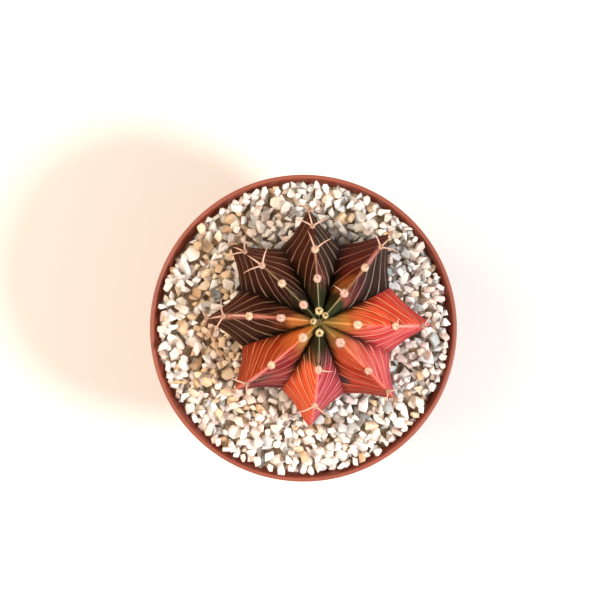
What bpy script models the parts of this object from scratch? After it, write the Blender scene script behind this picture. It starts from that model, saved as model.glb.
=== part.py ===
"""Potted star-shaped moon cactus: a ribbed stem with its areoles and spines, rooted in soil under a gravel
top dressing, in a round plastic pot. Metres, +Z up, origin at the centre of the pot's foot."""

import math
import random

import bmesh
import bpy
from mathutils import Matrix, Vector
from mathutils.bvhtree import BVHTree

# Pot
POT_HEIGHT = 0.070
POT_RIM_RADIUS = 0.0425
POT_LIP_WIDTH = 0.0011
POT_COLLAR_HEIGHT = 0.013
POT_COLLAR_DRAFT = 0.0006
POT_STEP = 0.0022
POT_FOOT_RADIUS = 0.0300
POT_WALL = 0.0012
POT_FLOOR_HEIGHT = 0.0022
POT_FLOOR_THICKNESS = 0.0016
POT_FOOT_WIDTH = 0.0024
POT_SEGMENTS = 64
LIP_ROUND = 0.0004
DRAIN_RADIUS = 0.0025
DRAIN_CIRCLE = 0.0165
DRAIN_COUNT = 6
NOTCH_COUNT = 4
NOTCH_RADIUS = 0.0016

# Soil and gravel
GAP = 0.0003
GRAVEL_TOP = POT_HEIGHT - 0.0025
GRAVEL_DEPTH = 0.009
GRAVEL_RELIEF = 0.0007
GRAVEL_RINGS = 12
GRAVEL_SEGMENTS = 48
GRAVEL_SEED = 7
SOIL_TOP = GRAVEL_TOP - GRAVEL_DEPTH
SOIL_SEGMENTS = 48
PEBBLE_COUNT = 16
PEBBLE_SIZE = 0.0021
PEBBLE_RING = 0.0358
PEBBLE_RING_SPREAD = 0.0014
PEBBLE_RING_PHASE = 2.4
PEBBLE_CORNERS = 16
PEBBLE_SEED = 100

# Stem: the crests of the ribs lie on a flattened globe that narrows to a root
STEM_RADIUS = 0.0288
STEM_DOME = 0.025
STEM_EQUATOR = GRAVEL_TOP + 0.0085
STEM_UNDERSIDE = 0.015
STEM_BASE_CENTRE = Vector((0.0023, 0.0027, 0.0))
STEM_LEAN = Vector((0.0018, -0.0006, 0.0))
CROWN_DIP = 0.0008
CROWN_DIP_SPREAD = 0.004
NECK_RADIUS = 0.006
UNDERSIDE_CURVE = 1.2
ROOT_LENGTH = 0.024
ROOT_TIP_RADIUS = 0.0012
VALLEY_DEPTH = 0.0076
VALLEY_GROWTH = 0.0075
VALLEY_FADE = 0.7
CROWN_BULGE = 0.0006
TIP_HOLLOW = 0.0011
HOLLOW_START = 0.014
HOLLOW_END = 0.038
TIP_START = 0.024
TIP_END = 0.042
TIP_UNDERCUT = 3.0
CREST_ROUND = 0.0003
FLANK_STEPS = (0.1, 0.4, 0.72)
DOME_ROWS = 12
UNDERSIDE_ROWS = 5
ROOT_ROWS = 4

# Each rib: the way it points at the equator (degrees), how far its crest swings from that towards the
# crown, its reach beside the mean, how much further its tip stands out, the arc from the crown to its first
# grown areole, the arc from one areole to the next, and the spines of those areoles that don't follow the
# rule below. A spine is its turn from the way down the crest (degrees) and its length.
RIBS = (
    {
        "azimuth": 92.5, "sweep": 0.0, "reach": 0.990, "tip": 0.0016, "first": 0.0113, "spacing": 0.0086,
        "spines": {1: ((20, 0.0050), (-69, 0.0050)), 2: ((85, 0.0048), (-90, 0.0054), (13, 0.0050))},
    },
    {
        "azimuth": 138.0, "sweep": -6.0, "reach": 1.010, "tip": 0.0017, "first": 0.0060, "spacing": 0.0079,
        "spines": {
            2: ((82, 0.0053), (-74, 0.0051), (11, 0.0048)),
            3: ((76, 0.0046), (-54, 0.0043), (21, 0.0038)),
        },
    },
    {
        "azimuth": 180.0, "sweep": -8.0, "reach": 1.000, "tip": 0.0009, "first": 0.0099, "spacing": 0.0089,
        "spines": {1: ((2, 0.0054),), 2: ((-112, 0.0051), (84, 0.0068), (13, 0.0044))},
    },
    {
        "azimuth": 221.5, "sweep": 2.0, "reach": 0.970, "tip": 0.0010, "first": 0.0058, "spacing": 0.0117,
        "spines": {2: ((-88, 0.0066), (62, 0.0040))},
    },
    {
        "azimuth": 267.0, "sweep": 3.0, "reach": 0.995, "tip": 0.0009, "first": 0.0125, "spacing": 0.0118,
        "spines": {0: ((96, 0.0040),), 1: ((-87, 0.0060), (69, 0.0050))},
    },
    {
        "azimuth": 315.5, "sweep": 0.0, "reach": 1.035, "tip": 0.0009, "first": 0.0074, "spacing": 0.0112,
        "spines": {2: ((80, 0.0030), (-84, 0.0028))},
    },
    {
        "azimuth": 357.5, "sweep": -2.0, "reach": 1.055, "tip": 0.0016, "first": 0.0097, "spacing": 0.0110,
        "spines": {1: ((5, 0.0044), (95, 0.0024)), 2: ((84, 0.0042), (-96, 0.0030))},
    },
    {
        "azimuth": 409.0, "sweep": 0.0, "reach": 1.025, "tip": 0.0016, "first": 0.0097, "spacing": 0.0094,
        "spines": {0: ((104, 0.0036),), 2: ((93, 0.0046), (-85, 0.0049), (-6, 0.0043))},
    },
)

# Areoles and spines
LAST_AREOLE = 0.0440
PAD_SIZE = (0.00115, 0.0012, 0.00095)
PAD_SEAT = 0.00045
SPINE_RADIUS = 0.00022
SPINE_TAPER = (1.0, 0.75, 0.3)
SPINE_START = 0.0005
SPINE_RISE = math.radians(24)
SPINE_BEND = 0.0005
SPINE_FLOOR = GRAVEL_TOP + 0.0042
GROWN_ARC = 0.0205
OLD_ARC = 0.0330
GROWN_SPINES = ((6, 0.0046), (80, 0.0052), (-80, 0.0050))
OLD_SPINES = ((84, 0.0030), (-84, 0.0026))
STEM_CLEARANCE = 0.00045
CROWN_HEART = (0.0015, 0.0024, 0.0009)
CROWN_LIFT = 0.0008
CROWN_TUFT = (0.0009, 0.0009, 0.0009)

# The youngest areoles, still gathered round the growing point: the rib of each and its arc from the crown
CROWN_TUFTS = (
    {"rib": 0, "arc": 0.0027},
    {"rib": 2, "arc": 0.0012},
    {"rib": 4, "arc": 0.0026},
    {"rib": 7, "arc": 0.0019},
)


def clear_scene():
    for obj in list(bpy.data.objects):
        bpy.data.objects.remove(obj, do_unlink=True)


def new_collection(name):
    made = bpy.data.collections.new(name)
    bpy.context.scene.collection.children.link(made)
    return made


def new_material(name, colour, roughness, metallic=0.0):
    made = bpy.data.materials.new(name)
    made.use_nodes = True
    shader = made.node_tree.nodes["Principled BSDF"]
    shader.inputs["Base Color"].default_value = (*colour, 1.0)
    shader.inputs["Roughness"].default_value = roughness
    shader.inputs["Metallic"].default_value = metallic
    return made


def add_object(name, data, collection, material=None):
    obj = bpy.data.objects.new(name, data)
    collection.objects.link(obj)
    if material:
        data.materials.append(material)
    return obj


def mesh_object(name, mesh_builder, collection, material=None):
    data = bpy.data.meshes.new(name)
    mesh_builder.to_mesh(data)
    mesh_builder.free()
    return add_object(name, data, collection, material)


def as_cutter(obj):
    obj.hide_render = True
    obj.display_type = "WIRE"
    return obj


def add_boolean(obj, other, operation):
    modifier = obj.modifiers.new(operation.lower(), "BOOLEAN")
    modifier.operation = operation
    modifier.solver = "EXACT"
    modifier.object = other
    return modifier


def shade_round(obj, angle=40):
    obj.data.shade_smooth()
    obj.data.set_sharp_from_angle(angle=math.radians(angle))


# ---- pot


def wall_radius(z, outside):
    """The radius of the pot's tapered body at a height, below the collar."""
    top = POT_HEIGHT - POT_COLLAR_HEIGHT
    share = z / top
    outer = POT_FOOT_RADIUS + (POT_RIM_RADIUS - POT_STEP - POT_FOOT_RADIUS) * share
    return outer if outside else outer - POT_WALL


def inner_radius(z):
    """The radius of the pot's inside at a height: the tapered wall, then the collar's straighter one."""
    shoulder = POT_HEIGHT - POT_COLLAR_HEIGHT
    if z <= shoulder:
        return wall_radius(z, outside=False)
    share = (z - shoulder) / POT_COLLAR_HEIGHT
    low, high = wall_radius(shoulder, outside=False), POT_RIM_RADIUS - POT_LIP_WIDTH
    return low + (high - low) * share


def pot_profile():
    """The pot's section, from the lip down the outside, under the foot and back up the inside."""
    shoulder = POT_HEIGHT - POT_COLLAR_HEIGHT
    floor_top = POT_FLOOR_HEIGHT + POT_FLOOR_THICKNESS
    body_top = wall_radius(shoulder, outside=True)
    collar_foot = POT_RIM_RADIUS - POT_COLLAR_DRAFT
    foot_inner = POT_FOOT_RADIUS - POT_FOOT_WIDTH
    inner_lip = POT_RIM_RADIUS - POT_LIP_WIDTH
    return (
        (inner_lip + LIP_ROUND, POT_HEIGHT),
        (POT_RIM_RADIUS - LIP_ROUND, POT_HEIGHT),
        (POT_RIM_RADIUS, POT_HEIGHT - LIP_ROUND),
        (collar_foot, shoulder + LIP_ROUND),
        (collar_foot - LIP_ROUND, shoulder),
        (body_top, shoulder),
        (wall_radius(POT_FLOOR_HEIGHT, outside=True), POT_FLOOR_HEIGHT),
        (POT_FOOT_RADIUS, 0.0),
        (foot_inner, 0.0),
        (foot_inner - LIP_ROUND, POT_FLOOR_HEIGHT),
        (DRAIN_RADIUS, POT_FLOOR_HEIGHT),
        (DRAIN_RADIUS, floor_top),
        (wall_radius(floor_top, outside=False), floor_top),
        (wall_radius(shoulder, outside=False), shoulder),
        (inner_lip, POT_HEIGHT - LIP_ROUND),
    )


def make_pot(parts, cutters, material):
    builder = bmesh.new()
    loop = [builder.verts.new((r, 0.0, z)) for r, z in pot_profile()]
    for a, b in zip(loop, loop[1:] + loop[:1]):
        builder.edges.new((a, b))
    pot = mesh_object("pot", builder, parts, material)
    screw = pot.modifiers.new("turn", "SCREW")
    screw.steps = screw.render_steps = POT_SEGMENTS
    screw.use_merge_vertices = True
    screw.merge_threshold = 0.00001
    screw.use_normal_calculate = True
    for drill in drain_cutters(cutters):
        add_boolean(pot, drill, "DIFFERENCE")
    return pot


def drain_cutters(cutters):
    """Drills for the ring of drain holes, and bars that notch the foot so that water runs out."""
    builder = bmesh.new()
    for i in range(DRAIN_COUNT):
        angle = math.tau * i / DRAIN_COUNT
        place = Vector((math.cos(angle), math.sin(angle), 0.0)) * DRAIN_CIRCLE
        place.z = POT_FLOOR_HEIGHT + POT_FLOOR_THICKNESS / 2
        bmesh.ops.create_cone(
            builder,
            cap_ends=True,
            segments=16,
            radius1=DRAIN_RADIUS,
            radius2=DRAIN_RADIUS,
            depth=3 * POT_FLOOR_THICKNESS,
            matrix=Matrix.Translation(place),
        )
    drills = as_cutter(mesh_object("drain_drills", builder, cutters))

    builder = bmesh.new()
    for i in range(NOTCH_COUNT):
        turn = Matrix.Rotation(math.tau * (i + 0.5) / NOTCH_COUNT, 4, "Z")
        out = Matrix.Translation((POT_FOOT_RADIUS - POT_FOOT_WIDTH / 2, 0.0, -NOTCH_RADIUS / 3))
        lie = Matrix.Rotation(math.pi / 2, 4, "Y")
        bmesh.ops.create_cone(
            builder,
            cap_ends=True,
            segments=12,
            radius1=NOTCH_RADIUS,
            radius2=NOTCH_RADIUS,
            depth=3 * POT_FOOT_WIDTH,
            matrix=turn @ out @ lie,
        )
    notches = as_cutter(mesh_object("foot_notch_bars", builder, cutters))
    return drills, notches


# ---- stem


def crest(phi):
    """(radius, height) of the globe that the crests lie on, for a phi of 0 at the crown to pi at the neck."""
    if phi <= math.pi / 2:
        radius = STEM_RADIUS * math.sin(phi)
        dip = CROWN_DIP * math.exp(-((radius / CROWN_DIP_SPREAD) ** 2))
        return radius, STEM_EQUATOR + STEM_DOME * math.cos(phi) - dip
    under = phi - math.pi / 2
    narrow = max(math.cos(under), 0.0) ** UNDERSIDE_CURVE
    radius = NECK_RADIUS + (STEM_RADIUS - NECK_RADIUS) * narrow
    return radius, STEM_EQUATOR - STEM_UNDERSIDE * math.sin(under)


def crest_normal(phi, step=0.001):
    """The outward normal of that globe, as (radial, vertical)."""
    low, high = max(phi - step, 0.0), min(phi + step, math.pi)
    (r0, z0), (r1, z1) = crest(low), crest(high)
    along = Vector((r1 - r0, z1 - z0)).normalized()
    return Vector((-along.y, along.x))


def phi_at_arc(arc, steps=720):
    """The phi that lies this far along the crest from the crown."""
    walked, before = 0.0, Vector(crest(0.0))
    for i in range(1, steps + 1):
        phi = math.pi * i / steps
        here = Vector(crest(phi))
        walked += (here - before).length
        if walked >= arc:
            return phi
        before = here
    return math.pi


def arc_at_phi(phi, steps=90):
    points = [Vector(crest(phi * i / steps)) for i in range(steps + 1)]
    return sum((b - a).length for a, b in zip(points, points[1:]))


def valley_depth(phi):
    """How deep the valleys lie under the crests: growing from the crown, and gone at the neck."""
    depth = VALLEY_DEPTH * (1 - math.exp(-arc_at_phi(min(phi, math.pi / 2)) / VALLEY_GROWTH))
    if phi > math.pi / 2:
        depth *= max(math.cos(phi - math.pi / 2), 0.0) ** VALLEY_FADE
    return depth


def crest_azimuth(rib, phi):
    """Which way a crest points at this phi, in radians."""
    rise = max(1 - phi / (math.pi / 2), 0.0)
    return math.radians(rib["azimuth"] + rib["sweep"] * rise)


def stem_centre(z):
    """The stem's own axis, which leans a little from the gravel up."""
    share = (z - GRAVEL_TOP) / (STEM_EQUATOR + STEM_DOME - GRAVEL_TOP)
    return STEM_BASE_CENTRE + STEM_LEAN * max(share, 0.0)


def eased(low, high, value):
    """0 at low, 1 at high, and smooth between."""
    share = min(max((value - low) / (high - low), 0.0), 1.0)
    return share * share * (3 - 2 * share)


def stem_point(phi, azimuth, reach, depth, tip=0.0):
    """A point this deep under the globe, on the stem's leaning axis. A negative depth is outside it.
    A tip is how much further a crest reaches at its outermost point."""
    radius, z = crest(phi)
    normal = crest_normal(phi)
    radius *= 1 + (reach - 1) * min(math.sin(min(phi, math.pi / 2)), 1.0)
    under = math.cos(max(phi - math.pi / 2, 0.0))
    radius += tip * eased(TIP_START, TIP_END, arc_at_phi(phi)) * max(under, 0.0) ** TIP_UNDERCUT
    radius = max(radius - depth * normal.x, 0.0)
    z -= depth * normal.y
    return stem_centre(z) + Vector((radius * math.cos(azimuth), radius * math.sin(azimuth), z))


def rib_section(phi, grow):
    """One closed row round the stem: each rib's crest, its flank, the valley, and the next rib's flank."""
    row = []
    depth = valley_depth(phi)
    for rib, following in zip(RIBS, RIBS[1:] + RIBS[:1]):
        here = crest_azimuth(rib, phi)
        there = crest_azimuth(following, phi)
        if there < here:
            there += math.tau
        valley_reach = (rib["reach"] + following["reach"]) / 2
        valley = stem_point(phi, (here + there) / 2, valley_reach, depth - grow)
        rising = stem_point(phi, here, rib["reach"], -grow, rib["tip"])
        falling = stem_point(phi, there, following["reach"], -grow, following["tip"])
        row.append(stem_point(phi, here, rib["reach"], min(CREST_ROUND, depth / 4) - grow, rib["tip"]))
        row += flank(rising, valley, phi, FLANK_STEPS)
        row.append(valley)
        row += reversed(flank(falling, valley, phi, FLANK_STEPS))
    return row


def flank(top, bottom, phi, steps):
    """Points down one side of a rib: swollen a little near the crown, and hollow towards the pointed tips."""
    out = (top - stem_centre(top.z)) * Vector((1, 1, 0))
    hollow = (CROWN_BULGE + TIP_HOLLOW) * eased(HOLLOW_START, HOLLOW_END, arc_at_phi(phi))
    swell = (CROWN_BULGE - hollow) * valley_depth(phi) / VALLEY_DEPTH
    push = out.normalized() * swell if out.length > 1e-6 else Vector()
    return [top.lerp(bottom, t) + push * math.sin(math.pi * t) for t in steps]


def root_row(share, count, grow):
    """One row round the root, from the neck at 0 to its tip at 1."""
    z = STEM_EQUATOR - STEM_UNDERSIDE - (ROOT_LENGTH + grow) * share
    radius = NECK_RADIUS + (ROOT_TIP_RADIUS - NECK_RADIUS) * share**0.7 + grow
    azimuths = [math.radians(RIBS[0]["azimuth"]) + math.tau * i / count for i in range(count)]
    return [stem_centre(z) + Vector((radius * math.cos(a), radius * math.sin(a), z)) for a in azimuths]


def stem_rows(grow):
    dome = [math.pi / 2 * (i / DOME_ROWS) for i in range(1, DOME_ROWS + 1)]
    under = [math.pi / 2 * (1 + i / (UNDERSIDE_ROWS + 1)) for i in range(1, UNDERSIDE_ROWS + 1)]
    rows = [rib_section(phi, grow) for phi in dome + under]
    rows += [root_row(i / ROOT_ROWS, len(rows[0]), grow) for i in range(1, ROOT_ROWS + 1)]
    return rows


def make_stem(name, collection, material=None, grow=0.0):
    """A loft through star-shaped rows that become round at the root, its skin moved out by grow."""
    builder = bmesh.new()
    rows = [[builder.verts.new(point) for point in row] for row in stem_rows(grow)]
    crown = builder.verts.new(stem_point(0.0, 0.0, 1.0, -grow))
    count = len(rows[0])
    for i in range(count):
        j = (i + 1) % count
        builder.faces.new((crown, rows[0][i], rows[0][j]))
        for upper, lower in zip(rows, rows[1:]):
            builder.faces.new((upper[i], lower[i], lower[j], upper[j]))
    builder.faces.new(list(reversed(rows[-1])))
    stem = mesh_object(name, builder, collection, material)
    shade_round(stem, 30)
    return stem


# ---- soil and gravel


def make_soil(parts, clearance, material):
    low = POT_FLOOR_HEIGHT + POT_FLOOR_THICKNESS + GAP
    builder = bmesh.new()
    bmesh.ops.create_cone(
        builder,
        cap_ends=True,
        segments=SOIL_SEGMENTS,
        radius1=inner_radius(low) - GAP,
        radius2=inner_radius(SOIL_TOP) - GAP,
        depth=SOIL_TOP - low,
        matrix=Matrix.Translation((0.0, 0.0, (SOIL_TOP + low) / 2)),
    )
    soil = mesh_object("potting_soil", builder, parts, material)
    add_boolean(soil, clearance, "DIFFERENCE")
    return soil


def gravel_bed_mesh():
    """A disc of gravel: a flat foot on the soil, a side along the pot, and a rough top."""
    low = SOIL_TOP + GAP
    builder = bmesh.new()
    profile = [(0.0, low), (inner_radius(low) - GAP, low)]
    edge = inner_radius(GRAVEL_TOP) - GAP
    profile += [(edge * (1 - i / GRAVEL_RINGS), GRAVEL_TOP) for i in range(GRAVEL_RINGS + 1)]
    line = [builder.verts.new((r, 0.0, z)) for r, z in profile]
    edges = [builder.edges.new(pair) for pair in zip(line, line[1:])]
    bmesh.ops.spin(
        builder,
        geom=line + edges,
        axis=(0, 0, 1),
        cent=(0, 0, 0),
        angle=math.tau,
        steps=GRAVEL_SEGMENTS,
        use_merge=True,
    )
    bmesh.ops.remove_doubles(builder, verts=builder.verts, dist=0.00001)
    bmesh.ops.recalc_face_normals(builder, faces=builder.faces)
    rough = random.Random(GRAVEL_SEED)
    for vertex in sorted(builder.verts, key=lambda v: (round(v.co.x, 6), round(v.co.y, 6))):
        if vertex.co.z > GRAVEL_TOP - GAP:
            vertex.co.z += rough.uniform(-1.0, 1.0) * GRAVEL_RELIEF
    return builder


def make_gravel_bed(parts, clearance, material):
    builder = gravel_bed_mesh()
    surface = BVHTree.FromBMesh(builder)
    tops = [v.co.copy() for v in builder.verts if v.co.z > GRAVEL_TOP - 2 * GRAVEL_RELIEF]
    bed = mesh_object("gravel_bed", builder, parts, material)
    add_boolean(bed, clearance, "DIFFERENCE")
    return surface, tops


def pebble_mesh(seed):
    """A crushed stone: the hull of points scattered over an uneven ellipsoid."""
    chance = random.Random(seed)
    sides = [PEBBLE_SIZE * chance.uniform(0.85, 1.15) for _ in range(2)]
    sides.append(PEBBLE_SIZE * chance.uniform(0.6, 0.8))
    builder = bmesh.new()
    for _ in range(PEBBLE_CORNERS):
        aim = Vector([chance.gauss(0, 1) for _ in range(3)]).normalized()
        builder.verts.new([side * part for side, part in zip(sides, aim)])
    hull = bmesh.ops.convex_hull(builder, input=builder.verts)
    bmesh.ops.delete(builder, geom=hull["geom_unused"] + hull["geom_interior"], context="VERTS")
    turn = Matrix.Rotation(chance.uniform(0, math.tau), 4, "Z")
    bmesh.ops.transform(builder, matrix=turn, verts=builder.verts)
    return builder


def resting_height(stone, place, surface, tops):
    """How far up the stone's centre goes so that it lies GAP above the gravel bed under it."""
    above = Vector((place.x, place.y, POT_HEIGHT + PEBBLE_SIZE))
    drops = []
    for vertex in stone.verts:
        start = above + vertex.co
        hit = surface.ray_cast(start, Vector((0, 0, -1)))[0]
        if hit:
            drops.append(start.z - hit.z)
    own = BVHTree.FromBMesh(stone)
    for top in tops:
        hit = own.ray_cast(top - above - Vector((0, 0, 1)), Vector((0, 0, 1)))[0]
        if hit:
            drops.append(hit.z + above.z - top.z)
    return above.z - min(drops) + GAP


def make_pebbles(parts, surface, tops, material):
    """The largest loose stones, lying round the plant on the bed."""
    for i in range(PEBBLE_COUNT):
        angle = math.tau * (i + 0.5) / PEBBLE_COUNT
        radius = PEBBLE_RING + PEBBLE_RING_SPREAD * math.sin(i * PEBBLE_RING_PHASE)
        place = Vector((radius * math.cos(angle), radius * math.sin(angle), 0.0))
        stone = pebble_mesh(PEBBLE_SEED + i)
        height = resting_height(stone, place, surface, tops)
        pebble = mesh_object(f"pebble_{i + 1:02d}", stone, parts, material)
        pebble.location = (place.x, place.y, height)


# ---- areoles, spines and crown


def areole_frame(rib, arc):
    """Where an areole sits on a rib's crest: its place, outward normal, and the way down the crest."""
    phi = phi_at_arc(arc)
    azimuth = crest_azimuth(rib, phi)
    place = stem_point(phi, azimuth, rib["reach"], 0.0, rib["tip"])
    normal2 = crest_normal(phi)
    out = Vector((math.cos(azimuth), math.sin(azimuth), 0.0))
    normal = out * normal2.x + Vector((0, 0, normal2.y))
    down = out * normal2.y - Vector((0, 0, normal2.x))
    return place, normal, down


def spines_for(rib, arc, index):
    """The spines of one areole: young ones are bare, and old ones have lost the long spine down the crest."""
    if index in rib["spines"]:
        return rib["spines"][index]
    if arc < GROWN_ARC:
        return ()
    return OLD_SPINES if arc > OLD_ARC else GROWN_SPINES


def spine_points(seat, normal, down, turn, length):
    """Three points along one spine, bent a little back towards the stem and kept above the gravel."""
    side = normal.cross(down)
    flat = down * math.cos(math.radians(turn)) + side * math.sin(math.radians(turn))
    aim = flat * math.cos(SPINE_RISE) + normal * math.sin(SPINE_RISE)
    aim.z = max(aim.z, (SPINE_FLOOR - seat.z) / length)
    aim.normalize()
    start = seat + aim * SPINE_START
    middle = start + aim * length / 2 + normal * SPINE_BEND
    return start, middle, start + aim * length


def make_spines(name, seat, normal, down, spines, cutters):
    """The spines of one areole, as tapered tubes made into one mesh."""
    curve = bpy.data.curves.new(name, "CURVE")
    curve.dimensions = "3D"
    curve.bevel_depth = SPINE_RADIUS
    curve.bevel_resolution = 0
    curve.use_fill_caps = True
    for turn, length in spines:
        spline = curve.splines.new("POLY")
        points = spine_points(seat, normal, down, turn, length)
        spline.points.add(len(points) - 1)
        for target, point, radius in zip(spline.points, points, SPINE_TAPER):
            target.co = (*point, 1.0)
            target.radius = radius
    source = bpy.data.objects.new(name, curve)
    cutters.objects.link(source)
    graph = bpy.context.evaluated_depsgraph_get()
    data = bpy.data.meshes.new_from_object(source.evaluated_get(graph))
    bpy.data.objects.remove(source, do_unlink=True)
    builder = bmesh.new()
    builder.from_mesh(data)
    bmesh.ops.remove_doubles(builder, verts=builder.verts, dist=0.000001)
    return as_cutter(mesh_object(name, builder, cutters))


def pad_mesh(seat, normal, down, size):
    """A small ellipsoid of wool, its size given across the crest, along it and out from it."""
    side = normal.cross(down)
    turn = Matrix((side, down, normal)).transposed().to_4x4()
    shape = Matrix.Translation(seat) @ turn @ Matrix.Diagonal((*size, 1.0))
    builder = bmesh.new()
    bmesh.ops.create_icosphere(builder, subdivisions=1, radius=1.0, matrix=shape)
    bmesh.ops.recalc_face_normals(builder, faces=builder.faces)
    return builder


def make_areole(name, rib, arc, index, parts, cutters, clearance, material):
    """A woolly pad that saddles the crest, with its spines."""
    place, normal, down = areole_frame(rib, arc)
    seat = place + normal * PAD_SEAT
    areole = mesh_object(name, pad_mesh(seat, normal, down, PAD_SIZE), parts, material)
    ways = spines_for(rib, arc, index)
    if ways:
        spines = make_spines(name + "_spines", seat, normal, down, ways, cutters)
        add_boolean(areole, spines, "UNION")
    add_boolean(areole, clearance, "DIFFERENCE")
    return areole


def make_areoles(parts, cutters, clearance, material):
    for number, rib in enumerate(RIBS, start=1):
        arc, index = rib["first"], 0
        while arc <= LAST_AREOLE:
            name = f"areole_rib{number}_{index + 1}"
            make_areole(name, rib, arc, index, parts, cutters, clearance, material)
            arc += rib["spacing"]
            index += 1


def make_crown(parts, cutters, clearance, material):
    """The growing point: a low cushion of wool with the youngest areoles round it."""
    top = stem_point(0.0, 0.0, 1.0, 0.0) + Vector((0, 0, CROWN_LIFT))
    heart = pad_mesh(top, Vector((0, 0, 1)), Vector((0, -1, 0)), CROWN_HEART)
    crown = mesh_object("crown_wool", heart, parts, material)
    for number, tuft in enumerate(CROWN_TUFTS, start=1):
        place, normal, down = areole_frame(RIBS[tuft["rib"]], tuft["arc"])
        pad = pad_mesh(place + normal * PAD_SEAT, normal, down, CROWN_TUFT)
        add_boolean(crown, as_cutter(mesh_object(f"crown_tuft_{number}", pad, cutters)), "UNION")
    add_boolean(crown, clearance, "DIFFERENCE")
    return crown


def main():
    clear_scene()
    parts = new_collection("potted_moon_cactus")
    cutters = new_collection("cutters")
    plastic = new_material("brick_plastic", (0.42, 0.10, 0.055), 0.45)
    soil = new_material("potting_soil", (0.06, 0.035, 0.02), 0.95)
    stone = new_material("white_gravel", (0.72, 0.68, 0.60), 0.9)
    skin = new_material("stem_skin", (0.42, 0.06, 0.04), 0.5)
    wool = new_material("areole_wool", (0.75, 0.52, 0.38), 0.9)

    make_pot(parts, cutters, plastic)
    make_stem("cactus_stem", parts, skin)
    clearance = as_cutter(make_stem("stem_clearance", cutters, grow=STEM_CLEARANCE))
    make_soil(parts, clearance, soil)
    surface, tops = make_gravel_bed(parts, clearance, stone)
    make_pebbles(parts, surface, tops, stone)
    make_areoles(parts, cutters, clearance, wool)
    make_crown(parts, cutters, clearance, wool)


main()
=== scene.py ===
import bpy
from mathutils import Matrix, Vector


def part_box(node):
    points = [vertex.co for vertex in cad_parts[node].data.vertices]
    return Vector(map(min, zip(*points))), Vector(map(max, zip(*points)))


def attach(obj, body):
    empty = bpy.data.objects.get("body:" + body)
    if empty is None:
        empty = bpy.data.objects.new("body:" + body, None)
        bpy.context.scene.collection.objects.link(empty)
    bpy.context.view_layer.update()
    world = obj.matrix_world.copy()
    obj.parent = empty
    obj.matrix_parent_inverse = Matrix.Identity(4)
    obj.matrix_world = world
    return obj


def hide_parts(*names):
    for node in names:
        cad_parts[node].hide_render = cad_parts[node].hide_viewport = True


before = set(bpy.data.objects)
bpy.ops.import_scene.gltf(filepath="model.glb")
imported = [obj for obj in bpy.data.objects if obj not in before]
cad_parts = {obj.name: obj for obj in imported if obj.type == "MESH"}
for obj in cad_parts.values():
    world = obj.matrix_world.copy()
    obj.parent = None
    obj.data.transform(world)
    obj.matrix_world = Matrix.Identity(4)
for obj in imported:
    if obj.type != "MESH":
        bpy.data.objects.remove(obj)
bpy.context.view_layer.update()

import math
import random

import bmesh
import bpy
import numpy as np
from mathutils import Matrix, Vector, noise
from mathutils.bvhtree import BVHTree

mm = 0.001


def shade(code):
    # a hex colour as screens show it, turned into the linear numbers that shaders take
    parts = [int(code[i:i + 2], 16) / 255 for i in (0, 2, 4)]
    return tuple(c / 12.92 if c <= 0.04045 else ((c + 0.055) / 1.055) ** 2.4 for c in parts) + (1.0,)


def smoothStep(low, high, value):
    share = np.clip((value - low) / (high - low), 0, 1)
    return share * share * (3 - 2 * share)


def toneOf(code):
    return np.array(shade(code)[:3])


def blend(first, second, share):
    # from the first colours to the second, with a share for each point
    return first * (1 - share[:, None]) + second * share[:, None]


def blendStops(stops, places):
    # colours along a line, from (place, hex) stops
    at = [place for place, _ in stops]
    tones = np.array([toneOf(code) for _, code in stops])
    return np.stack([np.interp(places, at, tones[:, i]) for i in range(3)], axis=-1)


def addObject(name, data):
    made = bpy.data.objects.new(name, data)
    bpy.context.scene.collection.objects.link(made)
    return made


def ringFaces(a, b, count):
    # the four-sided faces between two rings of points, which start at a and at b
    return [(a + j, b + j, b + (j + 1) % count, a + (j + 1) % count) for j in range(count)]


def meshPiece(name, points, faces, material, smooth=True):
    data = bpy.data.meshes.new(name)
    data.from_pydata([tuple(p) for p in points], [], [tuple(f) for f in faces])
    data.materials.append(material)
    data.polygons.foreach_set("use_smooth", [smooth] * len(data.polygons))
    data.update()
    return addObject(name, data)


def cornerColours(piece, name, colours):
    layer = piece.data.color_attributes.new(name, "FLOAT_COLOR", "CORNER")
    whole = np.ones((len(colours), 4))
    whole[:, :colours.shape[1]] = colours
    layer.data.foreach_set("color", whole.ravel())


def cornerMap(piece, name, places):
    layer = piece.data.uv_layers.new(name=name)
    layer.data.foreach_set("uv", np.ascontiguousarray(places, float).ravel())


def keep(piece, slot, *nodes):
    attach(piece, "root")
    if nodes:
        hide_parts(*nodes)


class Wire:
    # a shader socket that can stand in a sum: each sign adds a Math node
    def __init__(self, paint, socket):
        self.paint = paint
        self.socket = socket

    def maths(self, operation, first, second=0.0):
        return self.paint.node("ShaderNodeMath", {"operation": operation}, {0: first, 1: second})

    def __add__(self, other):
        return self.maths("ADD", self, other)

    def __radd__(self, other):
        return self.maths("ADD", other, self)

    def __sub__(self, other):
        return self.maths("SUBTRACT", self, other)

    def __rsub__(self, other):
        return self.maths("SUBTRACT", other, self)

    def __mul__(self, other):
        return self.maths("MULTIPLY", self, other)

    def __rmul__(self, other):
        return self.maths("MULTIPLY", other, self)

    def fraction(self):
        return self.maths("FRACT", self)

    def away(self):
        return self.maths("ABSOLUTE", self)

    def between(self, low, high):
        # 0 at low, 1 at high, eased at both ends
        return self.paint.node(
            "ShaderNodeMapRange",
            {"interpolation_type": "SMOOTHSTEP"},
            {"Value": self, "From Min": low, "From Max": high},
        )


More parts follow.
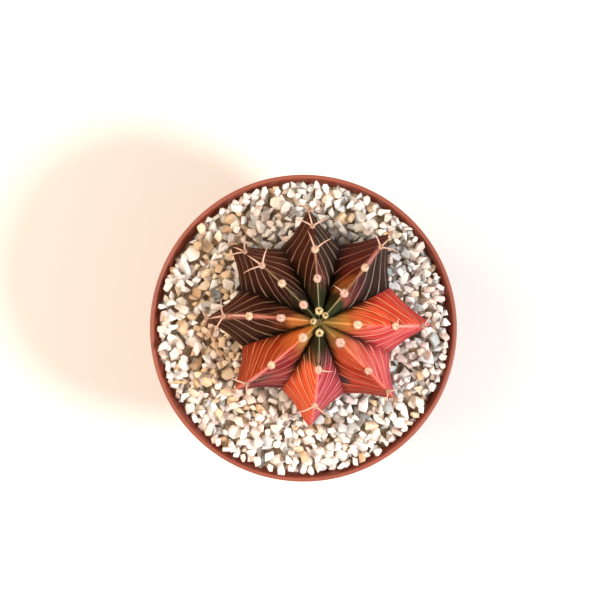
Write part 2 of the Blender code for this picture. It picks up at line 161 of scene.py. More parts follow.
class Paint:
    # a Principled material that is built up node by node
    def __init__(self, name, **plain):
        self.material = bpy.data.materials.new(name)
        self.material.use_nodes = True
        self.tree = self.material.node_tree
        self.shader = self.tree.nodes["Principled BSDF"]
        for socket, value in plain.items():
            self.shader.inputs[socket.replace("_", " ")].default_value = value

    def node(self, kind, settings=None, sockets=None, out=0):
        made = self.tree.nodes.new(kind)
        for name, value in (settings or {}).items():
            if name == "stops":
                for _ in value[2:]:
                    made.color_ramp.elements.new(1.0)
                for stop, (place, colour) in zip(made.color_ramp.elements, value):
                    stop.position = place
                    stop.color = colour
            else:
                setattr(made, name, value)
        for key, value in (sockets or {}).items():
            if isinstance(value, Wire):
                self.tree.links.new(value.socket, made.inputs[key])
            else:
                made.inputs[key].default_value = value
        return Wire(self, made.outputs[out])

    def place(self):
        return self.node("ShaderNodeTexCoord", out="Object")

    def stretched(self, vector, by):
        return self.node("ShaderNodeVectorMath", {"operation": "MULTIPLY"}, {0: vector, 1: by})

    def speckle(self, vector, scale, detail, roughness=0.55):
        return self.node(
            "ShaderNodeTexNoise", None,
            {"Vector": vector, "Scale": scale, "Detail": detail, "Roughness": roughness},
        )

    def crumbs(self, vector, scale):
        return self.node("ShaderNodeTexVoronoi", {"feature": "F1"}, {"Vector": vector, "Scale": scale})

    def mix(self, factor, first, second):
        return self.node("ShaderNodeMix", {"data_type": "RGBA"}, {0: factor, 6: first, 7: second}, out=2)

    def dim(self, factor, tone, base, by):
        # goes towards a base colour whose red, green and blue are scaled
        return self.mix(factor, tone, self.stretched(base, by))

    def colours(self, name, out=0):
        return self.node("ShaderNodeVertexColor", {"layer_name": name}, out=out)

    def map(self, name):
        return self.node("ShaderNodeUVMap", {"uv_map": name})

    def parts(self, vector):
        split = self.node("ShaderNodeSeparateXYZ", None, {0: vector})
        return [Wire(self, output) for output in split.socket.node.outputs]

    def feed(self, socket, wire):
        self.tree.links.new(wire.socket, self.shader.inputs[socket])

    def bump(self, height, strength, distance):
        self.feed("Normal", self.node(
            "ShaderNodeBump", None, {"Height": height, "Strength": strength, "Distance": distance},
        ))


pot = {
    "segments": 160,
    "height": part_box("pot")[1].z,
    "rim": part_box("pot")[1].x,
    "lipWidth": 1.1 * mm,
    "collar": 13.0 * mm,
    "collarDraft": 0.6 * mm,
    "step": 2.2 * mm,
    "foot": 30.0 * mm,
    "footWidth": 2.4 * mm,
    "wall": 1.2 * mm,
    "floorHeight": 2.2 * mm,
    "floorThickness": 1.6 * mm,
    "drain": 2.5 * mm,
    "drainCircle": 16.5 * mm,
    "drains": 6,
    "notch": 1.6 * mm,
    "notches": 4,
    "round": 0.4 * mm,
    "roundSteps": 4,
}


def potWall(z):
    # the outside of the tapered body at a height
    share = z / (pot["height"] - pot["collar"])
    return pot["foot"] + (pot["rim"] - pot["step"] - pot["foot"]) * share


def roundedCorner(before, corner, after, radius):
    # a corner of the section, eased with a short curve
    start = corner + (before - corner).normalized() * radius
    end = corner + (after - corner).normalized() * radius
    made = []
    for i in range(pot["roundSteps"] + 1):
        t = i / pot["roundSteps"]
        made.append(start.lerp(corner, t).lerp(corner.lerp(end, t), t))
    return made


def potSection():
    top = pot["height"]
    shoulder = top - pot["collar"]
    floorTop = pot["floorHeight"] + pot["floorThickness"]
    innerLip = pot["rim"] - pot["lipWidth"]
    edge = pot["round"]
    bead = 0.25 * mm
    corners = (
        ((innerLip, top), edge),
        ((pot["rim"], top), edge),
        ((pot["rim"] - 0.05 * mm, top - 2.2 * mm), bead),  # a faint bead runs round under the lip
        ((pot["rim"] - 0.28 * mm, top - 2.6 * mm), bead),
        ((pot["rim"] - pot["collarDraft"], shoulder), edge),
        ((potWall(shoulder), shoulder), bead),
        ((potWall(pot["floorHeight"] * 3), pot["floorHeight"] * 3), bead),
        ((pot["foot"], 0.0), edge),
        ((pot["foot"] - pot["footWidth"], 0.0), edge),
        ((pot["foot"] - pot["footWidth"] - edge, pot["floorHeight"]), bead),
        ((pot["drain"], pot["floorHeight"]), 0.0),
        ((pot["drain"], floorTop), 0.0),
        ((potWall(floorTop) - pot["wall"], floorTop), edge),
        ((potWall(shoulder) - pot["wall"], shoulder), bead),
    )
    places = [Vector(corner) for corner, _ in corners]
    section = []
    for i, (_, radius) in enumerate(corners):
        if radius == 0.0:
            section.append(places[i])
        else:
            section += roundedCorner(places[i - 1], places[i], places[(i + 1) % len(places)], radius)
    return section


def drill(piece, cutter):
    # cuts a piece and leaves nothing of the cutter behind
    cut = piece.modifiers.new("cut", "BOOLEAN")
    cut.operation = "DIFFERENCE"
    cut.solver = "EXACT"
    cut.object = cutter
    graph = bpy.context.evaluated_depsgraph_get()
    made = bpy.data.meshes.new_from_object(piece.evaluated_get(graph))
    piece.modifiers.clear()
    piece.data = made
    bpy.data.objects.remove(cutter, do_unlink=True)


def cylinders(name, radius, depth, segments, turns):
    builder = bmesh.new()
    for turn in turns:
        bmesh.ops.create_cone(
            builder, cap_ends=True, segments=segments, radius1=radius, radius2=radius, depth=depth,
            matrix=turn,
        )
    data = bpy.data.meshes.new(name)
    builder.to_mesh(data)
    builder.free()
    return addObject(name, data)


def makePot(material):
    section = potSection()
    count, turns = len(section), pot["segments"]
    points, faces = [], []
    for i in range(turns):
        angle = math.tau * i / turns
        points += [(p.x * math.cos(angle), p.x * math.sin(angle), p.y) for p in section]
    for i in range(turns):
        faces += ringFaces(i * count, (i + 1) % turns * count, count)
    piece = meshPiece("potShell", points, faces, material)
    turnOutward(piece)
    level = pot["floorHeight"] + pot["floorThickness"] / 2
    holes = []
    for i in range(pot["drains"]):
        turn = Matrix.Rotation(math.tau * i / pot["drains"], 4, "Z")
        holes.append(turn @ Matrix.Translation((pot["drainCircle"], 0.0, level)))
    drill(piece, cylinders("drainDrills", pot["drain"], 3 * pot["floorThickness"], 40, holes))
    bars = []
    middle = pot["foot"] - pot["footWidth"] / 2
    for i in range(pot["notches"]):
        turn = Matrix.Rotation(math.tau * (i + 0.5) / pot["notches"], 4, "Z")
        lie = Matrix.Rotation(math.pi / 2, 4, "Y")
        bars.append(turn @ Matrix.Translation((middle, 0.0, -pot["notch"] / 3)) @ lie)
    drill(piece, cylinders("notchBars", pot["notch"], 3 * pot["footWidth"], 24, bars))
    piece.data.set_sharp_from_angle(angle=math.radians(35))
    keep(piece, "pot_plastic", "pot")


def turnOutward(piece):
    # makes all faces of a closed piece look outward
    builder = bmesh.new()
    builder.from_mesh(piece.data)
    bmesh.ops.recalc_face_normals(builder, faces=builder.faces)
    builder.to_mesh(piece.data)
    builder.free()


def potPaint():
    paint = Paint("potPlastic", Specular_IOR_Level=0.45, Coat_Weight=0.08, Coat_Roughness=0.35)
    spot = paint.place()
    cloud = paint.speckle(spot, 45.0, 5.0)
    grain = paint.speckle(spot, 900.0, 3.0)
    base = paint.mix(cloud.between(0.3, 0.7), shade("7c3322"), shade("93412d"))
    _, _, height = paint.parts(spot)
    # dust and lime pale the foot a little, and handling wear with a painted highlight lightens the top of the
    # lip
    low = 1 - height.between(0.0, 16 * mm)
    streak = paint.speckle(paint.stretched(spot, (1.0, 1.0, 0.12)), 160.0, 4.0)
    lowerTint = low * streak.between(0.42, 0.72) * 0.45
    base = paint.mix(lowerTint, base, shade("c49a82"))
    rubAndHighlight = height.between(pot["height"] - 0.7 * mm, pot["height"]) * (0.35 + cloud * 0.5)
    base = paint.mix(rubAndHighlight, base, shade("904b34"))
    paint.feed("Base Color", base)
    paint.feed("Roughness", 0.40 + grain * 0.12 + lowerTint * 0.35)
    paint.bump(grain * 0.7 + cloud * 0.6, 0.25, 0.12 * mm)
    return paint.material


def soilPaint():
    paint = Paint("pottingSoil", Roughness=0.95, Specular_IOR_Level=0.2)
    spot = paint.place()
    crumbs = paint.crumbs(spot, 850.0)
    fine = paint.speckle(spot, 1400.0, 6.0, 0.7)
    tone = paint.node(
        "ShaderNodeValToRGB",
        {"stops": ((0.25, shade("1c120b")), (0.55, shade("3a2718")), (0.8, shade("5d4330")))},
        {0: fine},
    )
    paint.feed("Base Color", paint.mix(crumbs.between(0.0, 0.8), tone, shade("2a1b10")))
    paint.bump(crumbs * -1.0 + fine * 0.6, 0.8, 0.5 * mm)
    return paint.material


stem = {
    "radius": 28.8 * mm,
    "dome": 25.0 * mm,
    "equator": 76.0 * mm,
    "underside": 15.0 * mm,
    "undersideCurve": 1.2,
    "neck": 6.0 * mm,
    "rootLength": 24.0 * mm,
    "rootTip": 1.2 * mm,
    "soilLevel": 67.5 * mm,
    "centre": (2.3 * mm, 2.7 * mm),
    "lean": (1.8 * mm, -0.6 * mm),
    "dip": 0.8 * mm,
    "dipSpread": 4.0 * mm,
    "valley": 7.6 * mm,
    "valleyGrowth": 7.5 * mm,
    "valleyFade": 0.7,
    "bulge": (0.6 * mm, -1.1 * mm),  # puffed near the crown, hollow towards the pointed tips
    "bulgeArcs": (14, 38),  # arcs are in millimetres from the crown
    "tipArcs": (24, 42),
    "waveArcs": (5, 12),
    "lastAreole": 44.0,
    "tipUndercut": 3.0,
    "crestRound": 0.3 * mm,
    "rowStep": 0.23 * mm,
    "flankSteps": 15,
    "bandsEach": 3.9 * mm,  # about how far apart the cross bands lie on the crest
    "bandRelief": 0.19 * mm,
    "tubercle": 0.28 * mm,
    "rootRows": 14,
    "rootTone": "a98a62",
    "rootLevels": (64.0, 60.0),  # heights in millimetres, from flesh to root
    "lumps": ((180.0, 3.0, 0.12), (700.0, 9.0, 0.035)),  # scale, seed, and height in millimetres
    "oliveTone": "23220f",
    "fleshScale": 0.96,
    "paintedValleyShade": 0.6,  # how much painted shade darkens the dark ribs in their valleys
    "footFade": 0.45,  # how much the lines dull at the foot, over these places
    "footPlaces": (30, 41),
}

# Each rib as in the frame: where it points, how its crest swings towards the crown, its reach, how far its
# tip stands out, the arc to its first areole, the arc between areoles, and the spines that don't follow the
# common rule, each with its turn from the way down the rib and its length. The colours run along the rib,
# with places in millimetres of arc from the crown: ccw and cw are its two flanks, and rich is how much of the
# line tone streaks the flesh. A patch is a dark mark: its flank, band level, half height, place and half
# width across the flank, and tone.
ribs = (
    {"azimuth": 92.5, "sweep": 0.0, "reach": 0.990, "tip": 1.6, "first": 11.3, "spacing": 8.6,
     "rich": 0.05,
     "spines": {1: ((20, 5.0), (-69, 5.0)), 2: ((85, 4.8), (-90, 5.4), (13, 5.0))},
     "ccw": ((2, "2c2f18"), (9, "2f2113"), (16, "361104"), (30, "421404"), (44, "3a1104")),
     "cw": ((2, "2c2f18"), (8, "33341f"), (12, "64342d"), (17, "4c251b"), (24, "2f2018"), (44, "3d1a0c")),
     "crest": ((2, "98a078"), (11, "a89c78"), (13, "c28a74"), (20, "c08a70"), (24, "5c2c1c"), (44, "6a3422")),
     "crestWidth": 0.04, "line": "8a664e", "lineCw": "9c8672"},
    {"azimuth": 138.0, "sweep": -6.0, "reach": 1.010, "tip": 1.7, "first": 6.0, "spacing": 7.9,
     "rich": 0.05,
     "spines": {2: ((82, 5.3), (-74, 5.1), (11, 4.8)), 3: ((76, 4.6), (-54, 4.3), (21, 3.8))},
     "ccw": ((2, "2e2e1a"), (8, "2e2318"), (16, "31140c"), (28, "381608"), (44, "411b0b")),
     "cw": ((2, "2c2f1a"), (8, "2d2419"), (18, "3f180b"), (30, "4d1b0a"), (44, "5c210b")),
     "crest": ((2, "8c9068"), (6, "9a9070"), (21, "a08868"), (26, "5c3220"), (44, "5c3020")),
     "crestWidth": 0.04, "line": "947260", "lineCw": "a87e64"},
    {"azimuth": 180.0, "sweep": -8.0, "reach": 1.000, "tip": 0.9, "first": 9.9, "spacing": 8.9,
     "rich": 0.05,
     "spines": {1: ((2, 5.4),), 2: ((-112, 5.1), (84, 6.8), (13, 4.4))},
     "ccw": ((2, "b0733c"), (8, "b66c37"), (11, "6a2f19"), (15, "361708"), (30, "381a09"), (44, "451f0a")),
     "cw": ((2, "8c6c38"), (7, "b0703e"), (10, "74341f"), (14, "391409"), (30, "421609"), (44, "4d190a")),
     "crest": ((2, "c08a50"), (9, "cf8a5c"), (12, "c97868"), (18, "c47866"), (22, "b0685a"), (28, "c08a72"),
               (32, "6a3a28"), (44, "6a3a28")),
     "crestWidth": 0.10, "line": "8f725c", "lineCw": "967056"},
    {"azimuth": 221.5, "sweep": 2.0, "reach": 0.970, "tip": 1.0, "first": 5.8, "spacing": 11.7,
     "rich": 0.42,
     "spines": {2: ((-88, 6.6), (62, 4.0))},
     "ccw": ((2, "8f7a3c"), (6, "c07c40"), (11, "9c3a24"), (16, "862327"), (26, "82232b"), (44, "6b1d1e")),
     "cw": ((2, "8a7038"), (6, "cf6a2e"), (14, "9d3611"), (26, "983313"), (44, "8b2e17")),
     "crest": ((2, "b08a4c"), (7, "d98058"), (12, "e87f78"), (28, "e79088"), (44, "d87060")),
     "crestWidth": 0.055, "line": "c87a6a", "lineCw": "dc7850",
     "patch": ("ccw", 27.0, 2.2, 0.20, 0.22, "3a322c")},
    {"azimuth": 267.0, "sweep": 3.0, "reach": 0.995, "tip": 0.9, "first": 12.5, "spacing": 11.8,
     "rich": 0.42,
     "spines": {0: ((96, 4.0),), 1: ((-87, 6.0), (69, 5.0))},
     "ccw": ((2, "2a2c18"), (10.4, "2d2316"), (12, "8a2c26"), (14, "a52b33"), (28, "ab353c"), (44, "a12e35")),
     "cw": ((2, "2a2c18"), (10.4, "3a2b19"), (12, "b8482a"), (14, "d94b2a"), (30, "da502c"), (44, "cf4438")),
     "crest": ((2, "8c9070"), (11, "7a7a5c"), (14, "e87878"), (24, "f07c80"), (44, "e06060")),
     "crestWidth": 0.045, "line": "ea8e90", "lineCw": "f69c6c"},
    {"azimuth": 315.5, "sweep": 0.0, "reach": 1.035, "tip": 0.9, "first": 7.4, "spacing": 11.2,
     "rich": 0.42,
     "spines": {2: ((80, 3.0), (-84, 2.8))},
     "ccw": ((2, "7c6a34"), (7, "b0783c"), (11, "cf623b"), (18, "c8483c"), (32, "c4404b"), (44, "b63b54")),
     "cw": ((2, "6c5c30"), (7, "a8643a"), (11, "b4441e"), (20, "a5301a"), (32, "a02d1f"), (44, "922d24")),
     "crest": ((2, "94804a"), (7, "c88a58"), (12, "ee8468"), (30, "ee7c6e"), (44, "e06858")),
     "crestWidth": 0.04, "line": "f0a08c", "lineCw": "d87458",
     "patch": ("cw", 30.0, 2.4, 0.90, 0.18, "443030")},
    {"azimuth": 357.5, "sweep": -2.0, "reach": 1.055, "tip": 1.6, "first": 9.7, "spacing": 11.0,
     "rich": 0.42,
     "spines": {1: ((5, 4.4), (95, 2.4)), 2: ((84, 4.2), (-96, 3.0))},
     "ccw": ((2, "94743a"), (7, "c47e3a"), (11, "d86231"), (17, "d43c22"), (30, "d0372b"), (44, "c03346")),
     "cw": ((2, "8c6c38"), (7, "bc763a"), (11, "cd5a35"), (17, "ca3f37"), (30, "c63741"), (44, "b13746")),
     "crest": ((2, "b09048"), (9, "e0884a"), (13, "ee6a50"), (20, "ec5a5c"), (23, "f09a98"),
               (34, "f08e90"), (44, "d8607a")),
     "crestWidth": 0.05, "line": "f4945e", "lineCw": "f49c8c"},
    {"azimuth": 409.0, "sweep": 0.0, "reach": 1.025, "tip": 1.6, "first": 9.7, "spacing": 9.4,
     "rich": 0.05,
     "spines": {0: ((104, 3.6),), 2: ((93, 4.6), (-85, 4.9), (-6, 4.3))},
     "ccw": ((2, "2c3018"), (8, "2a2413"), (10.5, "80501f"), (14, "8c4618"), (18, "521606"), (44, "471104")),
     "cw": ((2, "323c24"), (7, "343c26"), (9, "8e4c3e"), (12, "643028"), (17, "4c2026"),
            (23, "2b2018"), (44, "3e1814")),
     "crest": ((2, "90946c"), (8, "a07c50"), (12, "8c6c44"), (19, "a06c58"), (22, "c08078"), (27, "b87468"),
               (30, "583024"), (44, "5a2c20")),
     "crestWidth": 0.07, "line": "945844", "lineCw": "907c72"},
)


def crestCurve(phi):
    # the crests' common curve: radius and height for a phi of 0 at the crown to pi at the neck
    under = np.clip(phi - math.pi / 2, 0, None)
    narrow = np.clip(np.cos(under), 0, None) ** stem["undersideCurve"]
    radius = np.where(
        under > 0, stem["neck"] + (stem["radius"] - stem["neck"]) * narrow, stem["radius"] * np.sin(phi))
    dip = stem["dip"] * np.exp(-(radius / stem["dipSpread"]) ** 2)
    height = np.where(
        under > 0, -stem["underside"] * np.sin(under), stem["dome"] * np.cos(phi) - dip)
    return radius, stem["equator"] + height


phiTable = np.linspace(0, math.pi, 1801)
radiusTable, heightTable = crestCurve(phiTable)
arcTable = np.concatenate([[0], np.cumsum(np.hypot(np.diff(radiusTable), np.diff(heightTable)))])
normalTable = np.stack([-np.gradient(heightTable), np.gradient(radiusTable)])
normalTable /= np.hypot(*normalTable)
levelTable = np.minimum.accumulate(
    np.where(phiTable < math.pi / 2, stem["equator"] + stem["dome"] * np.cos(phiTable), heightTable))


def crestNormal(phi):
    # how much the crests' curve faces outward, and how much up
    return np.interp(phi, phiTable, normalTable[0]), np.interp(phi, phiTable, normalTable[1])


def valleyDepth(phi):
    reached = np.interp(np.minimum(phi, math.pi / 2), phiTable, arcTable)
    depth = stem["valley"] * (1 - np.exp(-reached / stem["valleyGrowth"]))
    return depth * np.clip(np.cos(np.clip(phi - math.pi / 2, 0, None)), 0, None) ** stem["valleyFade"]


def crestAzimuth(rib, phi):
    rise = np.clip(1 - phi / (math.pi / 2), 0, None)
    return np.radians(rib["azimuth"] + rib["sweep"] * rise)


def stemCentre(height):
    top = stem["equator"] + stem["dome"]
    share = np.clip((height - stem["soilLevel"]) / (top - stem["soilLevel"]), 0, None)
    return stem["centre"][0] + stem["lean"][0] * share, stem["centre"][1] + stem["lean"][1] * share


def stemPoint(phi, azimuth, reach, depth, tip=0.0):
    # a point this deep under the crests' curve, on the leaning axis: tip is how far the curve's outermost
    # part stands out, in millimetres
    radius = np.interp(phi, phiTable, radiusTable)
    height = np.interp(phi, phiTable, heightTable)
    across, up = crestNormal(phi)
    radius = radius * (1 + (reach - 1) * np.sin(np.minimum(phi, math.pi / 2)))
    under = np.clip(np.cos(np.clip(phi - math.pi / 2, 0, None)), 0, None) ** stem["tipUndercut"]
    arc = np.interp(phi, phiTable, arcTable) / mm
    radius = radius + tip * mm * under * smoothStep(*stem["tipArcs"], arc)
    radius = np.clip(radius - depth * across, 0, None)
    height = height - depth * up
    x, y = stemCentre(height)
    return np.stack([x + radius * np.cos(azimuth), y + radius * np.sin(azimuth), height], axis=-1)


def areoleArcs(rib):
    arcs = []
    arc = rib["first"]
    while arc <= stem["lastAreole"]:
        arcs.append(arc)
        arc += rib["spacing"]
    return arcs


def flankShares():
    # places from crest (0) to valley (1), closer together at both
    even = np.linspace(0, 1, stem["flankSteps"] + 1)
    return 0.45 * even + 0.55 * (0.5 - 0.5 * np.cos(math.pi * even))


def flankPoints(phi, rib, azimuth, valleyPoint, shares):
    top = stemPoint(phi, azimuth, rib["reach"], 0.0, rib["tip"])
    x, y = stemCentre(top[:, 2])
    out = np.stack([top[:, 0] - x, top[:, 1] - y, np.zeros(len(top))], axis=-1)
    out /= np.maximum(np.linalg.norm(out, axis=1, keepdims=True), 1e-9)
    arc = np.interp(phi, phiTable, arcTable) / mm
    depth = valleyDepth(phi)
    swell = np.interp(smoothStep(*stem["bulgeArcs"], arc), (0, 1), stem["bulge"]) * depth / stem["valley"]
    edge = stem["crestRound"] * np.minimum(1, depth / (2 * mm))
    # the rib swells a little round each areole and draws in between
    beat = math.tau * (arc - rib["first"]) / rib["spacing"]
    wave = np.cos(beat) * smoothStep(*stem["waveArcs"], arc)
    across, up = crestNormal(phi)
    normal = np.stack([across * np.cos(azimuth), across * np.sin(azimuth), up], axis=-1)
    points = []
    for share in shares:
        rounding = edge * math.exp(-(share / 0.05) ** 2)
        lift = stem["tubercle"] * wave * (1 - share) ** 1.5 * share ** 0.25 * 1.4 - rounding
        point = top + (valleyPoint - top) * share
        point = point + out * (swell * math.sin(math.pi * share))[:, None] + normal * lift[:, None]
        points.append(point)
    return points


def stemGrid():
    # rows of points round the stem, with each column's flank and share
    shares = flankShares()
    arcs = np.arange(stem["rowStep"] * 2, arcTable[-1], stem["rowStep"])
    phi = np.interp(arcs, arcTable, phiTable)
    columns, flanks, places = [], [], []
    for k, rib in enumerate(ribs):
        following = ribs[(k + 1) % len(ribs)]
        here, there = crestAzimuth(rib, phi), crestAzimuth(following, phi)
        there = np.where(there < here, there + math.tau, there)
        reach = (rib["reach"] + following["reach"]) / 2
        valleyPoint = stemPoint(phi, (here + there) / 2, reach, valleyDepth(phi))
        columns += flankPoints(phi, rib, here, valleyPoint, shares[:-1])
        flanks += [2 * k] * (len(shares) - 1)
        places += list(shares[:-1])
        columns += flankPoints(phi, following, there, valleyPoint, shares[:0:-1])
        flanks += [2 * k + 1] * (len(shares) - 1)
        places += list(shares[:0:-1])
    return arcs, np.stack(columns, axis=1), np.array(flanks), np.array(places)


def bandPlace(points):
    # how far down the crest the level of each point lies, in millimetres: bands run level across a flank
    order = np.argsort(levelTable)
    return np.interp(points[..., 2], levelTable[order], arcTable[order]) / mm


def ribOf(flank):
    return ribs[(flank + 1) // 2 % len(ribs)]


def bandSpacing(rib):
    return rib["spacing"] / round(rib["spacing"] / (stem["bandsEach"] / mm))


def bandPhase(rib, band, share):
    # whole numbers are the pale lines between two rolls: they crowd a little towards each areole
    crowd = 0.9 * (1 - share) ** 2 * np.sin(math.tau * (band - rib["first"]) / rib["spacing"])
    return (band + crowd * 0.5 - rib["first"]) / bandSpacing(rib) + 40.5


def cellNoise(points, scale, seed):
    flat = points.reshape(-1, 3) * scale + seed
    return np.array([noise.noise(Vector(p)) for p in flat]).reshape(points.shape[:-1])


def ringCorners(above, below, count):
    # for each corner of a ring's faces: its arc, its column, and the column that its share comes from
    corners = []
    for j in range(count):
        k = (j + 1) % count
        corners += [(above, j, j), (below, j, j), (below, j, k), (above, j, k)]
    return corners


def makeStem(material):
    arcs, grid, flanks, places = stemGrid()
    rows, count = grid.shape[:2]
    level = bandPlace(grid)
    lumps = sum(cellNoise(grid, scale, seed) * height * mm for scale, seed, height in stem["lumps"])
    relief = np.zeros((rows, count))
    for c in range(count):
        phase = bandPhase(ribOf(flanks[c]), level[:, c], places[c]) % 1.0
        strength = smoothStep(0.03, 0.16, places[c]) * (1 - smoothStep(0.9, 1.0, places[c]))
        roll = np.sin(math.pi * phase) ** 0.8
        relief[:, c] = roll * stem["bandRelief"] * strength * smoothStep(6, 12, level[:, c])
    sideways = np.roll(grid, -1, axis=1) - np.roll(grid, 1, axis=1)
    along = np.gradient(grid, axis=0)
    normals = np.cross(along, sideways)
    normals /= np.maximum(np.linalg.norm(normals, axis=2, keepdims=True), 1e-12)
    grid = grid + normals * (relief + lumps * smoothStep(2, 8, arcs / mm)[:, None])[..., None]

    crown = stemPoint(np.array([0.0]), 0.0, 1.0, 0.0)[0]
    points = [tuple(p) for p in grid.reshape(-1, 3)]
    points.append(tuple(crown))
    faces, corners = [], []
    for j in range(count):
        k = (j + 1) % count
        faces.append((rows * count, j, k))
        corners += [(0.0, j, j), (arcs[0], j, j), (arcs[0], j, k)]
    for i in range(rows - 1):
        faces += ringFaces(i * count, (i + 1) * count, count)
        corners += ringCorners(arcs[i], arcs[i + 1], count)

    # the root goes on down from the neck
    base = len(points)
    rootRows = stem["rootRows"]
    neckHeight = stem["equator"] - stem["underside"]
    x, y = stem["centre"]
    angles = [math.atan2(*(grid[-1, j, 1::-1] - np.array(stem["centre"])[::-1])) for j in range(count)]
    for i in range(1, rootRows + 1):
        share = i / rootRows
        z = neckHeight - stem["rootLength"] * share
        radius = stem["neck"] + (stem["rootTip"] - stem["neck"]) * share ** 0.7
        points += [(x + radius * math.cos(angle), y + radius * math.sin(angle), z) for angle in angles]
        above = (rows - 1) * count if i == 1 else base + (i - 2) * count
        below = base + (i - 1) * count
        arcHere = arcs[-1] + stem["rootLength"] * share
        arcBefore = arcHere - stem["rootLength"] / rootRows
        faces += ringFaces(above, below, count)
        corners += ringCorners(arcBefore, arcHere, count)
    tip = len(points)
    points.append((x, y, neckHeight - stem["rootLength"]))
    for j in range(count):
        k = (j + 1) % count
        faces.append((tip, base + (rootRows - 1) * count + k, base + (rootRows - 1) * count + j))
        corners += [(arcHere, j, j), (arcHere, j, k), (arcHere, j, j)]

    piece = meshPiece("stemBody", points, faces, material)
    cornerArc = np.array([c[0] for c in corners]) / mm
    cornerFlank = flanks[[c[1] for c in corners]]
    nextShare = np.roll(places, -1)
    last = np.roll(flanks, -1) != flanks
    nextShare[last] = np.where(flanks[last] % 2 == 0, 1.0, 0.0)
    cornerShare = np.array([places[c[1]] if c[1] == c[2] else nextShare[c[1]] for c in corners])
    index = np.array([v for face in faces for v in face])
    spots = np.array(points)[index]
    paintStem(piece, cornerArc, cornerFlank, cornerShare, spots)
    keep(piece, "stem_skin", "cactus_stem")


def paintStem(piece, arc, flank, share, spots):
    # colours and band places for every corner of the stem
    band = bandPlace(spots)
    wander = cellNoise(spots, 260.0, 21.0)
    drift = cellNoise(spots, 90.0, 5.0)
    flesh = np.zeros((len(arc), 3))
    line = np.zeros((len(arc), 4))
    phase = np.zeros(len(arc))
    for f in range(2 * len(ribs)):
        mask = flank == f
        rib = ribOf(f)
        side = "ccw" if f % 2 == 0 else "cw"
        s, b, t = arc[mask], band[mask], share[mask]
        # near the crown the colours go by arc, and further out by level, so that they follow the bands
        weight = smoothStep(12, 22, s)
        along = s * (1 - weight) + b * weight + wander[mask] * 2.2 + drift[mask] * 1.5
        tone = blendStops(rib[side], along)
        # the valleys are olive and dark near the crown
        deep = smoothStep(0.55, 1.0, t + wander[mask] * 0.12) * (1 - smoothStep(14, 26, s)) * 0.85
        tone = blend(tone, toneOf(stem["oliveTone"]), deep)
        if rib.get("patch", ("",))[0] == side:
            _, level, height, middle, width, dark = rib["patch"]
            there = np.exp(-((b + wander[mask] * 1.6 - level) / height) ** 2 - ((t - middle) / width) ** 4)
            tone = blend(tone, toneOf(dark), smoothStep(0.25, 0.75, there))
        # painted shade: the dark ribs turn nearly black towards their valleys, where shade falls
        if rib["rich"] < 0.2:
            tone = tone * (1 - stem["paintedValleyShade"] * smoothStep(0.55, 1.0, t + wander[mask] * 0.2))[:, None]
        crest = blendStops(rib["crest"], s)
        width = rib["crestWidth"] * (1 + 0.35 * wander[mask])
        onCrest = (1 - smoothStep(width * 0.5, width * 1.3, t)) * 0.9
        flesh[mask] = blend(tone, crest, onCrest)
        # the lines dull towards the foot of the plant
        strong = toneOf(rib["line" if side == "ccw" else "lineCw"])
        line[mask, :3] = strong * (1 - stem["footFade"] * smoothStep(*stem["footPlaces"], b))[:, None]
        line[mask, 3] = rib["rich"]
        phase[mask] = bandPhase(rib, b, t)
    # under the soil the root is pale brown
    flesh = blend(flesh, toneOf(stem["rootTone"]), smoothStep(*stem["rootLevels"], spots[:, 2] / mm))
    cornerColours(piece, "flesh", np.clip(flesh * stem["fleshScale"], 0, 1))
    cornerColours(piece, "line", line)
    cornerMap(piece, "bands", np.stack([phase, share], axis=-1))
    cornerMap(piece, "sides", np.stack([flank * 7.3, arc / 10], axis=-1))


def stemPaint():
    paint = Paint("stemSkin", Specular_IOR_Level=0.04, Subsurface_Weight=0.08, Subsurface_Scale=1.2 * mm)
    paint.shader.inputs["Subsurface Radius"].default_value = (1.0, 0.45, 0.25)
    spot = paint.place()
    phase, share, _ = paint.parts(paint.map("bands"))
    side, outward, _ = paint.parts(paint.map("sides"))
    formed = outward.between(0.65, 1.35)  # the young crown has no bands yet
    flesh = paint.colours("flesh")
    lineTone = paint.colours("line")
    # streaks run along the bands
    lane = paint.node("ShaderNodeCombineXYZ", None, {0: phase * 5.0, 1: share * 1.3, 2: side})
    streak = paint.speckle(lane, 1.0, 3.0, 0.6)
    blotch = paint.speckle(spot, 420.0, 4.0)
    pores = paint.speckle(spot, 3200.0, 2.0)
    wobble = (streak - 0.5) * 0.12 + (blotch - 0.5) * 0.16
    cell = (phase + wobble).fraction()
    gap = (cell - 0.5).away()  # 0.5 on a pale line, 0 midway between two
    inside = share.between(0.03, 0.14) * (1 - share.between(0.93, 1.0))
    inside = inside * formed
    lineMask = gap.between(0.40, 0.475) * inside * (0.50 + blotch * 0.8)
    # painted shade: each band darkens in the crease beside its pale line
    creaseShade = cell.between(0.60, 0.95) * (1 - gap.between(0.43, 0.47)) * inside
    rich = paint.colours("line", out=1)
    tone = paint.mix(streak.between(0.42, 0.70) * rich * formed, flesh, lineTone)
    tone = paint.dim((1 - streak.between(0.25, 0.55)) * 0.55, tone, flesh, (0.6, 0.5, 0.5))
    tone = paint.dim(creaseShade * 0.85, tone, flesh, (0.45, 0.34, 0.34))
    shaded = 0.5 + (1 - outward.between(1.2, 2.6)) * 0.45
    tone = paint.dim(share.between(0.74, 1.0) * shaded, tone, flesh, (0.34, 0.28, 0.30))
    tone = paint.mix(lineMask, tone, lineTone)
    tone = paint.mix(pores.between(0.62, 0.75) * 0.16, tone, lineTone)
    paint.feed("Base Color", tone)
    paint.feed("Roughness", 0.46 + blotch * 0.16 - lineMask * 0.05)
    relief = gap.between(0.36, 0.5) * inside + cell * 0.35 * inside + pores * 0.12 + blotch * 0.2
    paint.bump(relief, 0.55, 0.16 * mm)
    return paint.material


